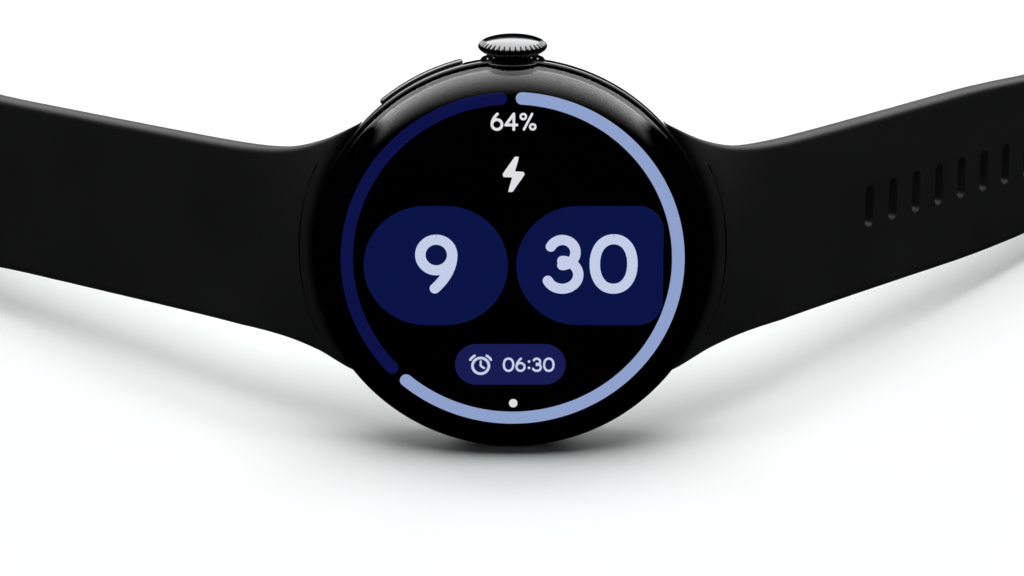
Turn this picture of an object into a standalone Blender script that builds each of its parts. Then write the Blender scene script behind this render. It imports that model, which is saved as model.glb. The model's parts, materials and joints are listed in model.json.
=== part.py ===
"""A round smartwatch with a domed glass, a turning crown and a two-piece rubber strap.

The watch is modelled in its own frame: +X towards the tail strap (6 o'clock), +Z towards the crown,
-Y out of the screen. An empty leans that frame back and puts the middle of its foot on the origin.
Depth means the distance along +Y behind the widest circle of the case. All lengths are in metres.
"""

import math

import bmesh
import bpy
import numpy as np
from mathutils import Matrix, Vector

MM = 0.001
GAP = 0.3 * MM

# Driving dimensions
CASE_R = 22.5 * MM
FRONT_RISE = 6.2 * MM
BACK_DEPTH = 4.8 * MM
BACK_FLAT_R = 14.0 * MM
LEAN_BACK = math.radians(10.72)

# Case
CAVITY_R = 18.6 * MM
GLASS_R = 22.0 * MM
GLASS_EDGE = -1.2 * MM
LIP_R = 22.28 * MM
LAND = -0.3 * MM
FLOOR = 2.6 * MM
LEDGE = 3.2 * MM
LEDGE_R = 14.6 * MM
COVER_R = 16.0 * MM
COVER_DEPTH = 4.0 * MM
WINDOW_R = 9.3 * MM
SCREEN_R = 19.4 * MM
SCREEN_RISE = 2.7 * MM
SCREEN_THICK = 0.3 * MM
CARRIER_R = 17.5 * MM
CARRIER_THICK = 0.2 * MM

# Crown, along +Z
CROWN_DEPTH = 1.2 * MM
CROWN_R = 3.85 * MM
CROWN_WAIST_R = 2.8 * MM
CROWN_BOTTOM = 22.75 * MM
CROWN_MIDDLE = 23.6 * MM
CROWN_TOP = 24.75 * MM
STEM_R = 0.6 * MM
STEM_END = 16.1 * MM
FLUTES = 36
FLUTE_R = 0.16 * MM
FLUTE_LEAN = math.radians(38.0)

# Side button, angles from the crown towards the fastener strap
BUTTON_FROM = math.radians(14.3)
BUTTON_TO = math.radians(40.6)
BUTTON_DEPTH = 1.05 * MM
BUTTON_THICK = 1.4 * MM
BUTTON_PROUD = 0.35 * MM

# Strap
STRAP_THICK = 2.4 * MM
STRAP_EDGE = 0.6 * MM
STRAP_START_R = 22.85 * MM
STRAP_START_DEPTH = 0.9 * MM
ROOT_HALF = 15.0 * MM
WAIST_HALF = 10.6 * MM
FLARE_LENGTH = 4.2 * MM
TAPER_START = 45.0 * MM
TAPER_REST = 10.0 * MM
TIP_LENGTH = 7.0 * MM
SHOULDER_ANGLE = math.radians(20.0)
SHOULDER_R = 6.0 * MM
JOINT_GAP = 0.5 * MM
CONNECTOR_IN_R = 19.6 * MM
CONNECTOR_OUT_R = 23.9 * MM
CONNECTOR_THICK = 0.7 * MM
CONNECTOR_DEPTH = 2.2 * MM
CONNECTOR_HALF_ANGLE = math.radians(23.6)
RELEASE_X = 20.2 * MM

# Each strap: side of the case, slope, length of its straight part, bend after it, and hinge places
FASTENER = {
    "name": "fastener_strap",
    "side": -1,
    "slope": math.radians(38.0),
    "straight": 50.0 * MM,
    "bend_r": 60.0 * MM,
    "length": 87.0 * MM,
    "hinges": (11.0 * MM, 47.0 * MM),
    "end_half": 11.78 * MM,
}
TAIL = {
    "name": "tail_strap",
    "side": 1,
    "slope": math.radians(47.5),
    "straight": 58.5 * MM,
    "bend_r": 40.0 * MM,
    "length": 94.0 * MM,
    "hinges": (12.0 * MM, 54.0 * MM),
    "end_half": 9.14 * MM,
}
SLOT_FIRST = 28.0 * MM
SLOT_PITCH = 4.6 * MM
SLOT_COUNT = 13
SLOT_LENGTH = 5.2 * MM
SLOT_WIDTH = 1.6 * MM
TUCK_FROM_END = 8.2 * MM
TUCK_LENGTH = 18.6 * MM
TUCK_WIDTH = 6.8 * MM
STUD_FROM_END = 17.5 * MM

COLOURS = {
    "glass": ((0.02, 0.02, 0.022), 0.05, 0.0),
    "metal": ((0.02, 0.02, 0.022), 0.22, 0.9),
    "bright_metal": ((0.72, 0.72, 0.7), 0.3, 1.0),
    "gold": ((0.85, 0.62, 0.3), 0.3, 1.0),
    "rubber": ((0.012, 0.012, 0.013), 0.6, 0.0),
    "seal": ((0.03, 0.03, 0.03), 0.7, 0.0),
    "plastic": ((0.03, 0.03, 0.032), 0.45, 0.0),
    "board": ((0.01, 0.06, 0.04), 0.5, 0.0),
    "foil": ((0.5, 0.5, 0.5), 0.4, 0.6),
    "screen": ((0.01, 0.02, 0.12), 0.2, 0.0),
}


def clear_scene():
    """Removes every object of the scene."""
    for obj in list(bpy.data.objects):
        bpy.data.objects.remove(obj, do_unlink=True)


def material(kind):
    """The Principled material of this kind, made on first use."""
    found = bpy.data.materials.get(kind)
    if found:
        return found
    colour, roughness, metallic = COLOURS[kind]
    made = bpy.data.materials.new(kind)
    made.use_nodes = True
    shader = made.node_tree.nodes["Principled BSDF"]
    shader.inputs["Base Color"].default_value = (*colour, 1.0)
    shader.inputs["Roughness"].default_value = roughness
    shader.inputs["Metallic"].default_value = metallic
    return made


clear_scene()
parts = bpy.data.collections.new("smartwatch")
cutters = bpy.data.collections.new("cutters")
bpy.context.scene.collection.children.link(parts)
bpy.context.scene.collection.children.link(cutters)
watch = bpy.data.objects.new("watch_frame", None)
parts.objects.link(watch)
crown_axis = bpy.data.objects.new("crown_axis", None)
parts.objects.link(crown_axis)
crown_axis.parent = watch
crown_axis.location = (0.0, CROWN_DEPTH, 0.0)

AIM_DEPTH = Matrix.Rotation(math.radians(-90.0), 4, "X")  # turns a local Z axis to +Y
AIM_UP = Matrix.Identity(4)


def place(obj, kind=None, parent=None):
    """Puts an object in the parts collection with its material, or among the cutters without one."""
    if kind is None:
        cutters.objects.link(obj)
        obj.hide_render = True
        obj.display_type = "WIRE"
    else:
        parts.objects.link(obj)
        obj.data.materials.append(material(kind))
    obj.parent = parent or watch
    return obj


def from_bmesh(name, mesh_data, kind=None, parent=None):
    """An object from a bmesh, with its normals pointing out and its round faces smooth."""
    bmesh.ops.recalc_face_normals(mesh_data, faces=mesh_data.faces)
    mesh = bpy.data.meshes.new(name)
    mesh_data.to_mesh(mesh)
    mesh_data.free()
    mesh.shade_smooth()
    mesh.set_sharp_from_angle(angle=math.radians(35.0))
    return place(bpy.data.objects.new(name, mesh), kind, parent)


def turned(name, profile, kind=None, steps=32, matrix=AIM_DEPTH, parent=None):
    """A solid turned from (radius, height) points about its local Z, by default the depth axis.

    A profile whose ends lie on the axis closes there; any other is closed to a ring.
    """
    points = np.array(profile)
    radius, height = points.T
    area = np.sum(radius * np.roll(height, -1) - np.roll(radius, -1) * height)
    if area > 0:
        points = points[::-1]
    mesh = bpy.data.meshes.new(name)
    count = len(points)
    edges = [(i, i + 1) for i in range(count - 1)]
    if min(points[0][0], points[-1][0]) > 0:
        edges.append((count - 1, 0))
    mesh.from_pydata([(r, 0.0, h) for r, h in points], edges, [])
    obj = place(bpy.data.objects.new(name, mesh), kind, parent)
    obj.matrix_local = matrix
    screw = obj.modifiers.new("turn", "SCREW")
    screw.steps = screw.render_steps = steps
    screw.use_merge_vertices = True
    screw.merge_threshold = 0.000001
    screw.use_smooth_shade = True
    return obj


def cylinder(name, radius, low, high, kind=None, at=(0.0, 0.0), steps=20, aim="depth", parent=None):
    """A plain cylinder; at is (x, z) for one along the depth, and (x, depth) for one along +Z."""
    mesh_data = bmesh.new()
    middle, length = (low + high) / 2, high - low
    if aim == "depth":
        matrix = Matrix.Translation((at[0], middle, at[1])) @ AIM_DEPTH
    else:
        matrix = Matrix.Translation((at[0], at[1], middle))
    bmesh.ops.create_cone(
        mesh_data, cap_ends=True, segments=steps, radius1=radius, radius2=radius, depth=length, matrix=matrix
    )
    return from_bmesh(name, mesh_data, kind, parent)


def box(name, low, high, kind=None, edge=0.0, turn=0.0, parent=None):
    """A box between two corners, its edges bevelled, then turned about the depth axis."""
    low, high = Vector(low), Vector(high)
    mesh_data = bmesh.new()
    matrix = Matrix.Translation((low + high) / 2) @ Matrix.Diagonal((*(high - low), 1.0))
    bmesh.ops.create_cube(mesh_data, size=1.0, matrix=matrix)
    bmesh.ops.transform(mesh_data, matrix=Matrix.Rotation(turn, 4, "Y"), verts=mesh_data.verts)
    obj = from_bmesh(name, mesh_data, kind, parent)
    if edge:
        bevel = obj.modifiers.new("edges", "BEVEL")
        bevel.width, bevel.segments = edge, 2
    return obj


def outline_plate(name, outline, low, high, kind=None, matrix=None, parent=None):
    """A flat outline of (x, z) points made a plate from one depth to another, through a filled 2D curve."""
    curve = bpy.data.curves.new(name, "CURVE")
    curve.dimensions, curve.fill_mode, curve.extrude = "2D", "BOTH", (high - low) / 2
    spline = curve.splines.new("POLY")
    spline.points.add(len(outline) - 1)
    for point, (x, z) in zip(spline.points, outline):
        point.co = (x, -z, 0.0, 1.0)
    spline.use_cyclic_u = True
    flat = bpy.data.objects.new(name + "_outline", curve)
    bpy.context.scene.collection.objects.link(flat)
    graph = bpy.context.evaluated_depsgraph_get()
    mesh = bpy.data.meshes.new_from_object(flat.evaluated_get(graph))
    bpy.data.objects.remove(flat, do_unlink=True)
    mesh_data = bmesh.new()
    mesh_data.from_mesh(mesh)
    bmesh.ops.remove_doubles(mesh_data, verts=mesh_data.verts, dist=0.000001)
    shift = Matrix.Translation((0.0, (low + high) / 2, 0.0)) @ AIM_DEPTH
    bmesh.ops.transform(mesh_data, matrix=(matrix or Matrix()) @ shift, verts=mesh_data.verts)
    return from_bmesh(name, mesh_data, kind, parent)


def arc(radius, start, end, count):
    """Points (x, z) of an arc about the case's centre, angles from +X towards +Z."""
    angles = np.linspace(start, end, count)
    return [(radius * math.cos(a), radius * math.sin(a)) for a in angles]


def sector(inner_r, outer_r, start, end, count=9):
    """The outline of a piece of a ring."""
    return arc(outer_r, start, end, count) + arc(inner_r, end, start, count)


def stadium(length, width, count=6):
    """The outline of a slot with round ends, its length along the second axis."""
    r = width / 2
    reach = length / 2 - r
    top = [(r * math.cos(a), reach + r * math.sin(a)) for a in np.linspace(0.0, math.pi, count)]
    return top + [(-x, -z) for x, z in top]


def boolean(obj, cutter, operation="DIFFERENCE"):
    """Adds an exact Boolean modifier."""
    modifier = obj.modifiers.new(cutter.name, "BOOLEAN")
    modifier.object, modifier.operation, modifier.solver = cutter, operation, "EXACT"


def dome(radius, inset):
    """How far the dome that lies inset below the glass rises in front of the widest circle."""
    edge = CASE_R - inset
    return (FRONT_RISE - inset) * math.sqrt(max(0.0, 1.0 - (radius / edge) ** 4))


def dome_profile(inset, out_to, count):
    """(radius, depth) points of a dome from its middle to a radius, closer together near the rim."""
    radii = out_to * np.sin(np.linspace(0.0, math.pi / 2, count))
    return [(r, -dome(r, inset)) for r in radii]


def bowl_depth(radius):
    """Depth of the case's outer underside at a radius outside its flat back."""
    reach = (radius - BACK_FLAT_R) / (CASE_R - BACK_FLAT_R)
    return BACK_DEPTH * max(0.0, 1.0 - reach**2.2) ** (1 / 2.2)


# Front: glass, screen and its carrier


def build_front():
    outer = dome_profile(0.0, GLASS_R, 8)
    inner = dome_profile(1.0 * MM, 20.7 * MM, 6)
    rim = [(GLASS_R, GLASS_EDGE), (20.7 * MM, GLASS_EDGE)]
    turned("cover_glass", outer + rim + inner[::-1], "glass", 40)

    turned("glass_seal", ring(19.2 * MM, 20.6 * MM, -0.9 * MM, -0.6 * MM), "seal", 24)

    screen_back = SCREEN_THICK - SCREEN_RISE
    turned("display_panel", ring(0.0, SCREEN_R, -SCREEN_RISE, screen_back), "screen", 32)
    carrier_front = screen_back + GAP
    plate = ring(0.0, CARRIER_R, carrier_front, carrier_front + CARRIER_THICK)
    carrier = turned("display_carrier", plate, "foil", 28)
    boolean(carrier, box("carrier_notch", (-3.5 * MM, -3 * MM, -19 * MM), (3.5 * MM, 0.0, -16.4 * MM)))
    build_display_flex()


def ring(inner_r, outer_r, low, high):
    """A rectangular profile; with no inner radius it closes on the axis."""
    return [(inner_r, low), (outer_r, low), (outer_r, high), (inner_r, high)]


def build_display_flex():
    """A thin ribbon from the back of the screen, through the carrier's notch, to the main board."""
    route = [(-16.8, -2.15), (-17.2, -2.12), (-17.5, -1.98), (-17.6, -1.7)]
    route += [(-17.4, -1.42), (-16.7, -1.3), (-15.0, -1.28)]
    mesh_data = bmesh.new()
    bmesh.ops.create_grid(mesh_data, x_segments=1, y_segments=len(route) - 1, size=1.0)
    for vertex in mesh_data.verts:
        z, depth = route[round((vertex.co.y + 1) / 2 * (len(route) - 1))]
        vertex.co = (vertex.co.x * 2.6 * MM, depth * MM, z * MM)
    ribbon = from_bmesh("display_flex", mesh_data, "gold")
    solid = ribbon.modifiers.new("thickness", "SOLIDIFY")
    solid.thickness, solid.offset = 0.12 * MM, 0.0


# Case


def build_case():
    outside = [(LIP_R, -1.0 * MM), (CASE_R - 0.05 * MM, -1.0 * MM), (CASE_R, -0.7 * MM), (CASE_R, 0.0)]
    radii = CASE_R - (CASE_R - COVER_R - 0.25 * MM) * np.linspace(0.0, 1.0, 8)[1:] ** 1.7
    outside += [(r, bowl_depth(r)) for r in radii]
    inside = [
        (COVER_R + 0.25 * MM, LEDGE),
        (LEDGE_R, LEDGE),
        (LEDGE_R, FLOOR),
        (CAVITY_R, FLOOR),
        (CAVITY_R, LAND),
        (LIP_R, LAND),
    ]
    housing = turned("case_housing", outside + inside, "metal", 56)
    for cut in case_cuts():
        boolean(housing, cut)
    build_back()
    build_charge_port()


def case_cuts():
    """The bores, recesses and strap channels of the housing."""
    yield cylinder("crown_bore", 1.45 * MM, 17.0 * MM, 23.0 * MM, aim="up", parent=crown_axis)
    yield cylinder("crown_recess", 2.15 * MM, 22.1 * MM, 24.0 * MM, aim="up", parent=crown_axis)
    yield button_sector("button_recess", 20.9 * MM, 25.0 * MM, 0.35 * MM, BUTTON_THICK / 2 + GAP)
    yield button_rod("button_bore", 0.95 * MM, 17.0 * MM, 22.0 * MM)
    yield box("charge_recess", (-3.9 * MM, 0.0, -24 * MM), (3.9 * MM, 2.2 * MM, -20.6 * MM))
    for strap in (FASTENER, TAIL):
        side, name = strap["side"], strap["name"]
        yield connector_plate(f"{name}_channel", side, GAP, reach=2 * MM)
        at = (side * RELEASE_X, 0.0)
        yield cylinder(f"{name}_latch_pit", 1.25 * MM, 0.2 * MM, CONNECTOR_DEPTH, at=at)
        yield cylinder(f"{name}_latch_hole", 0.85 * MM, CONNECTOR_DEPTH, 5.0 * MM, at=at)


def build_back():
    """The back cover with its seal and screws, and the sensors behind their window."""
    turned("back_seal", ring(15.0 * MM, 15.8 * MM, 3.45 * MM, 3.75 * MM), "seal", 24)
    cover = [
        (WINDOW_R + GAP, COVER_DEPTH),
        (COVER_R, COVER_DEPTH),
        (COVER_R, 4.65 * MM),
        (COVER_R - 0.15 * MM, BACK_DEPTH),
        (12.1 * MM, BACK_DEPTH),
        (12.1 * MM, 4.35 * MM),
        (10.0 * MM, 4.35 * MM),
        (10.0 * MM, BACK_DEPTH),
        (WINDOW_R + GAP, BACK_DEPTH),
    ]
    cover = turned("back_cover", cover, "glass", 40)
    for number, degrees in enumerate((60, 120, 240, 300)):
        angle = math.radians(degrees)
        at = (13.4 * MM * math.cos(angle), 13.4 * MM * math.sin(angle))
        hole = f"back_screw_hole_{number + 1}"
        boolean(cover, cylinder(hole, 1.15 * MM, 3.5 * MM, 5.5 * MM, at=at, steps=12))
        shank = [(0.0, 1.4), (0.45, 1.4), (0.45, 4.2)]
        head = [(0.85, 4.2), (0.85, 4.65), (0.4, 4.65), (0.4, 4.4), (0.0, 4.4)]
        profile = [(r * MM, depth * MM) for r, depth in shank + head]
        screw = turned(f"back_screw_{number + 1}", profile, "bright_metal", 12)
        screw.matrix_local = Matrix.Translation((at[0], 0.0, at[1])) @ AIM_DEPTH

    window = [(0, 6.1), (5.2, 6.1), (7.4, 5.8), (8.7, 5.3), (9.3, 4.7), (9.3, 4.1)]
    window += [(8.5, 4.1), (8.3, 4.7), (7.0, 5.1), (5.0, 5.3), (0, 5.3)]
    turned("sensor_window", [(r * MM, depth * MM) for r, depth in window], "glass", 28)
    turned("sensor_board", ring(0.0, 8.0 * MM, 3.4 * MM, 3.8 * MM), "board", 24)
    low, high = (-0.8 * MM, 4.1 * MM, -0.8 * MM), (0.8 * MM, 4.6 * MM, 0.8 * MM)
    box("pulse_led", low, high, "bright_metal", 0.1 * MM)
    for number in range(4):
        side = (-0.9 * MM, 0.9 * MM)
        box(
            f"photodiode_{number + 1}",
            (side[0], 4.1 * MM, 4.2 * MM),
            (side[1], 4.5 * MM, 6.0 * MM),
            "screen",
            0.1 * MM,
            turn=math.radians(45 + 90 * number),
        )
    for name, start in (("skin_electrode_left", 100), ("skin_electrode_right", -80)):
        outline = sector(10.3 * MM, 11.8 * MM, math.radians(start), math.radians(start + 160), 15)
        outline_plate(name, outline, 4.65 * MM, 5.0 * MM, "bright_metal")


def build_charge_port():
    """An insert with two contacts, flush in the side of the case away from the crown."""
    low, high = (-3.6 * MM, 0.3 * MM, -22.0 * MM), (3.6 * MM, 1.9 * MM, -20.9 * MM)
    insert = box("charge_insert", low, high, "plastic", 0.15 * MM)
    for side, name in ((-1, "left"), (1, "right")):
        at = (side * 1.8 * MM, 1.1 * MM)
        hole = cylinder(f"contact_hole_{name}", 0.65 * MM, -23 * MM, -20 * MM, at=at, steps=16, aim="up")
        boolean(insert, hole)
        pin = f"charge_contact_{name}"
        cylinder(pin, 0.4 * MM, -22.0 * MM, -20.9 * MM, "gold", at=at, steps=16, aim="up")


# Inside: board, battery and what is fixed to the inner frame


def build_inside():
    frame = turned("inner_frame", ring(11.9 * MM, 18.2 * MM, 0.3 * MM, 1.1 * MM), "plastic", 32)
    turned("main_board", ring(0.0, 18.0 * MM, -0.9 * MM, -0.2 * MM), "board", 32)
    crown_room = box("crown_room", (-2.2 * MM, -0.1 * MM, 13.6 * MM), (2.2 * MM, 2.5 * MM, 19.0 * MM))
    boolean(frame, crown_room)
    boolean(frame, button_rod("button_room", 1.8 * MM, 15.6 * MM, 19.0 * MM))

    box("processor_shield", (-9 * MM, -1.6 * MM, -6 * MM), (1 * MM, -1.2 * MM, 4 * MM), "foil", 0.15 * MM)
    box("radio_shield", (3 * MM, -1.6 * MM, -5 * MM), (10 * MM, -1.2 * MM, 4 * MM), "foil", 0.15 * MM)
    box("battery", (-8.0 * MM, 0.3 * MM, -7.6 * MM), (8.0 * MM, 3.0 * MM, 7.6 * MM), "foil", 0.6 * MM)

    mounted = (
        ("haptic_motor", (-4.2, 0.4, -16.4), (4.2, 2.3, -12.6), "bright_metal", 0.0),
        ("speaker", (-3.5, 0.4, -16.6), (3.5, 2.2, -12.6), "plastic", math.radians(58)),
        ("microphone", (-1.2, 0.4, -16.6), (1.2, 1.6, -14.8), "bright_metal", math.radians(-55)),
    )
    for name, low, high, kind, turn in mounted:
        low, high = Vector(low) * MM, Vector(high) * MM
        margin = Vector((GAP, GAP, GAP))
        box(name, low, high, kind, 0.2 * MM, turn)
        boolean(frame, box(f"{name}_room", low - margin, high + margin, turn=turn))
    outline = sector(14.9 * MM, 17.8 * MM, math.radians(-30), math.radians(50), 12)
    outline_plate("antenna_flex", outline, 1.4 * MM, 1.6 * MM, "gold")


# Crown


def flute_radius(height):
    """Mean radius of the fluted lower half of the crown, from its waist to its widest circle."""
    share = (height - CROWN_BOTTOM) / (CROWN_MIDDLE - CROWN_BOTTOM)
    return CROWN_WAIST_R + (CROWN_R - CROWN_WAIST_R) * math.sin(math.pi / 2 * share) ** 0.8


def build_crown():
    """A pebble-shaped cap on a stem, its stem's bush and seal, and the switch that a press closes."""
    lower = [(flute_radius(h), h) for h in np.linspace(CROWN_BOTTOM, CROWN_MIDDLE, 3)]
    rise = CROWN_TOP - CROWN_MIDDLE
    steps = np.linspace(0, math.pi / 2, 4)[1:-1]
    upper = [(CROWN_R * math.cos(a), CROWN_MIDDLE + rise * math.sin(a)) for a in steps]
    profile = [(0.0, CROWN_BOTTOM)] + lower + upper + [(0.0, CROWN_TOP)]
    cap = turned("crown_cap", profile, "metal", FLUTES, AIM_UP, crown_axis)
    groove = bmesh.new()
    for number in range(FLUTES):
        angle = math.tau * number / FLUTES
        lean = Matrix.Rotation(FLUTE_LEAN, 4, "Y")
        spot = Matrix.Translation((CROWN_R - 0.23 * MM, 0.0, CROWN_MIDDLE - 0.5 * MM)) @ lean
        bmesh.ops.create_cone(
            groove,
            cap_ends=True,
            segments=6,
            radius1=FLUTE_R,
            radius2=FLUTE_R,
            depth=2.0 * MM,
            matrix=Matrix.Rotation(angle, 4, "Z") @ spot,
        )
    boolean(cap, from_bmesh("flute_cutters", groove, parent=crown_axis))

    stem = [(0.0, STEM_END), (STEM_R, STEM_END), (STEM_R, 16.7 * MM), (1.1 * MM, 16.7 * MM)]
    stem += [(1.1 * MM, 17.1 * MM), (STEM_R, 17.1 * MM)]
    stem += [(STEM_R, CROWN_BOTTOM - GAP), (0.0, CROWN_BOTTOM - GAP)]
    turned("crown_stem", stem, "bright_metal", 16, AIM_UP, crown_axis)
    sleeve = (0.9 * MM, 1.15 * MM)
    turned("crown_bushing", ring(*sleeve, 20.7 * MM, 21.8 * MM), "bright_metal", 16, AIM_UP, crown_axis)
    turned("crown_seal", ring(*sleeve, 19.8 * MM, 20.4 * MM), "seal", 16, AIM_UP, crown_axis)
    pad = (0.8 * MM, 15.5 * MM, 15.8 * MM)
    cylinder("crown_thrust_pad", *pad, "bright_metal", steps=16, aim="up", parent=crown_axis)
    low, high = (-1.6 * MM, -0.8 * MM, 14.0 * MM), (1.6 * MM, 0.8 * MM, 15.1 * MM)
    box("crown_switch", low, high, "plastic", 0.15 * MM, parent=crown_axis)


# Side button


def button_sector(name, inner_r, outer_r, margin, half_thick, kind=None):
    """A piece of a ring round the button's place on the rim."""
    spread = margin / CASE_R
    start, end = math.pi / 2 + BUTTON_FROM - spread, math.pi / 2 + BUTTON_TO + spread
    low, high = BUTTON_DEPTH - half_thick, BUTTON_DEPTH + half_thick
    return outline_plate(name, sector(inner_r, outer_r, start, end, 10), low, high, kind)


def button_rod(name, radius, low, high, kind=None):
    """A cylinder along the button's press axis, between two distances from the case's centre."""
    mesh_data = bmesh.new()
    turn = Matrix.Rotation(-(BUTTON_FROM + BUTTON_TO) / 2, 4, "Y")
    spot = Matrix.Translation((0.0, BUTTON_DEPTH, (low + high) / 2))
    bmesh.ops.create_cone(
        mesh_data,
        cap_ends=True,
        segments=16,
        radius1=radius,
        radius2=radius,
        depth=high - low,
        matrix=turn @ spot,
    )
    return from_bmesh(name, mesh_data, kind)


def build_side_button():
    outer_r = CASE_R + BUTTON_PROUD
    button = button_sector("side_button", 21.3 * MM, outer_r, 0.0, BUTTON_THICK / 2, "metal")
    bevel = button.modifiers.new("edges", "BEVEL")
    bevel.width, bevel.segments = 0.25 * MM, 2
    button_rod("side_button_plunger", 0.55 * MM, 17.6 * MM, 20.95 * MM, "bright_metal")
    turn = (BUTTON_FROM + BUTTON_TO) / 2
    box(
        "side_button_switch",
        (-1.3 * MM, 0.5 * MM, 15.9 * MM),
        (1.3 * MM, 1.6 * MM, 17.2 * MM),
        "plastic",
        0.12 * MM,
        turn=-turn,
    )


# Strap


def strap_route(strap, along):
    """(x, depth, slope) of the strap's outer face, on the right-hand side, after a length from the case."""
    slope, straight = strap["slope"], strap["straight"]
    shoulder = (slope - SHOULDER_ANGLE) * SHOULDER_R
    bent = min(along, shoulder)
    angle = SHOULDER_ANGLE + bent / SHOULDER_R
    x = STRAP_START_R + SHOULDER_R * (math.sin(angle) - math.sin(SHOULDER_ANGLE))
    depth = STRAP_START_DEPTH + SHOULDER_R * (math.cos(SHOULDER_ANGLE) - math.cos(angle))
    run = min(max(along - shoulder, 0.0), straight - shoulder)
    x, depth = x + run * math.cos(slope), depth + run * math.sin(slope)
    bend_r = strap["bend_r"]
    last = slope + max(along - straight, 0.0) / bend_r
    if last > slope:
        angle = last
        x += bend_r * (math.sin(last) - math.sin(slope))
        depth += bend_r * (math.cos(slope) - math.cos(last))
    return x, depth, angle


def half_width(strap, along):
    """Half the strap's width: a flare at the case, then a slow change to the width of its end."""
    x = strap_route(strap, along)[0]
    flare = (ROOT_HALF - WAIST_HALF) * math.exp(-max(x - corner_x(), 0.0) / FLARE_LENGTH)
    change = min(max((along - TAPER_START) / (strap["length"] - TAPER_START - TAPER_REST), 0.0), 1.0)
    width = WAIST_HALF + flare + (strap["end_half"] - WAIST_HALF) * change * change * (3 - 2 * change)
    past = max(along - (strap["length"] - TIP_LENGTH), 0.0) / TIP_LENGTH
    return width * max(1.0 - past**2.6, 0.08) ** (1 / 2.6)


def corner_x():
    return math.sqrt(STRAP_START_R**2 - ROOT_HALF**2)


def strap_sheet(strap, name, start, end, rows, columns):
    """The outer face of a stretch of strap, as an open grid with Solidify and Bevel.

    The first stretch starts on an arc round the case, and its depth follows the distance from the case's
    centre there. Further out it follows x alone, as the rest of the strap does.
    """
    side = strap["side"]
    mesh_data = bmesh.new()
    bmesh.ops.create_grid(mesh_data, x_segments=rows, y_segments=columns, size=1.0)
    lengths = np.linspace(0.0, strap["length"], 400)
    xs, depths, _ = np.array([strap_route(strap, along) for along in lengths]).T
    rising = int(np.argmax(xs)) + 1
    end_x = strap_route(strap, end)[0]
    for vertex in mesh_data.verts:
        u, v = (vertex.co.x + 1) / 2, vertex.co.y
        if start == 0.0:
            edge_x = corner_x() + u * (end_x - corner_x())
            flare = (ROOT_HALF - WAIST_HALF) * math.exp(-(edge_x - corner_x()) / FLARE_LENGTH)
            z = v * (WAIST_HALF + flare)
            x = (1 - u) * math.sqrt(STRAP_START_R**2 - (v * ROOT_HALF) ** 2) + u * end_x
            blend = min(max((x - 22 * MM) / (end_x - 22 * MM), 0.0), 1.0)
            reach = math.hypot(x, z) * (1 - blend) + x * blend
            depth = float(np.interp(reach, xs[:rising], depths[:rising]))
        else:
            share = math.sin(u * math.pi / 2) if end == strap["length"] else u
            along = start + share * (end - start)
            x, depth, _ = strap_route(strap, along)
            z = v * half_width(strap, along)
        vertex.co = (side * x, depth, z)
    sheet = from_bmesh(name, mesh_data, "rubber")
    normals = sum((face.normal * face.area for face in sheet.data.polygons), Vector())
    solid = sheet.modifiers.new("thickness", "SOLIDIFY")
    solid.thickness, solid.use_even_offset = STRAP_THICK, True
    solid.offset = -1.0 if normals.y < 0 else 1.0
    bevel = sheet.modifiers.new("edges", "BEVEL")
    bevel.width, bevel.segments = STRAP_EDGE, 2
    bevel.limit_method, bevel.angle_limit = "ANGLE", math.radians(50)
    return sheet


def on_strap(strap, along, inward=STRAP_THICK / 2):
    """A frame on the strap: X along it, Y into its thickness, Z across it, as the watch's Z."""
    x, depth, slope = strap_route(strap, along)
    side = strap["side"]
    forward = Vector((side * math.cos(slope), math.sin(slope), 0.0))
    inside = Vector((-side * math.sin(slope), math.cos(slope), 0.0))
    across = forward.cross(inside)
    matrix = Matrix((forward, inside, across)).transposed().to_4x4()
    matrix.translation = Vector((side * x, depth, 0.0)) + inside * inward
    return matrix


def connector_plate(name, side, margin, kind=None, reach=0.0):
    """The curved plate that joins a strap to the case, or the room for it."""
    spread = CONNECTOR_HALF_ANGLE + margin / CASE_R
    middle = 0.0 if side > 0 else math.pi
    inner_r, outer_r = CONNECTOR_IN_R - margin, CONNECTOR_OUT_R + margin + reach
    outline = sector(inner_r, outer_r, middle - spread, middle + spread, 9)
    half = CONNECTOR_THICK / 2 + margin
    return outline_plate(name, outline, CONNECTOR_DEPTH - half, CONNECTOR_DEPTH + half, kind)


def build_strap(strap):
    """Three stretches of strap with flex lines between them, the connector and its release button."""
    name, side = strap["name"], strap["side"]
    first, second = strap["hinges"]
    root = strap_sheet(strap, f"{name}_root", 0.0, first - JOINT_GAP, 4, 10)
    boolean(root, connector_plate(f"{name}_pocket", side, GAP))
    middle = strap_sheet(strap, f"{name}_middle", first + JOINT_GAP, second - JOINT_GAP, 2, 2)
    end = strap_sheet(strap, f"{name}_end", second + JOINT_GAP, strap["length"], 12, 2)

    connector = connector_plate(f"{name}_connector", side, 0.0, "bright_metal")
    at = (side * RELEASE_X, 0.0)
    boolean(connector, cylinder(f"{name}_connector_hole", 1.2 * MM, 0.0, 4.0 * MM, at=at))
    latch = [(0.0, 1.8), (0.9, 1.8), (0.9, 2.6), (0.5, 2.6), (0.5, 3.45), (0.0, 3.45)]
    button = turned(f"{name}_release_button", [(r * MM, d * MM) for r, d in latch], "bright_metal", 16)
    button.matrix_local = Matrix.Translation((at[0], 0.0, at[1])) @ AIM_DEPTH
    return middle, end


def cut_slots(middle, end):
    """The adjusting slots of the tail strap."""
    hinge = TAIL["hinges"][1]
    for number in range(SLOT_COUNT):
        along = SLOT_FIRST + number * SLOT_PITCH
        outline = stadium(SLOT_LENGTH, SLOT_WIDTH)
        matrix = on_strap(TAIL, along)
        slot = outline_plate(f"slot_{number + 1}", outline, -3 * MM, 3 * MM, matrix=matrix)
        if abs(along - hinge) > SLOT_WIDTH:
            boolean(middle if along < hinge else end, slot)


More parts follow.
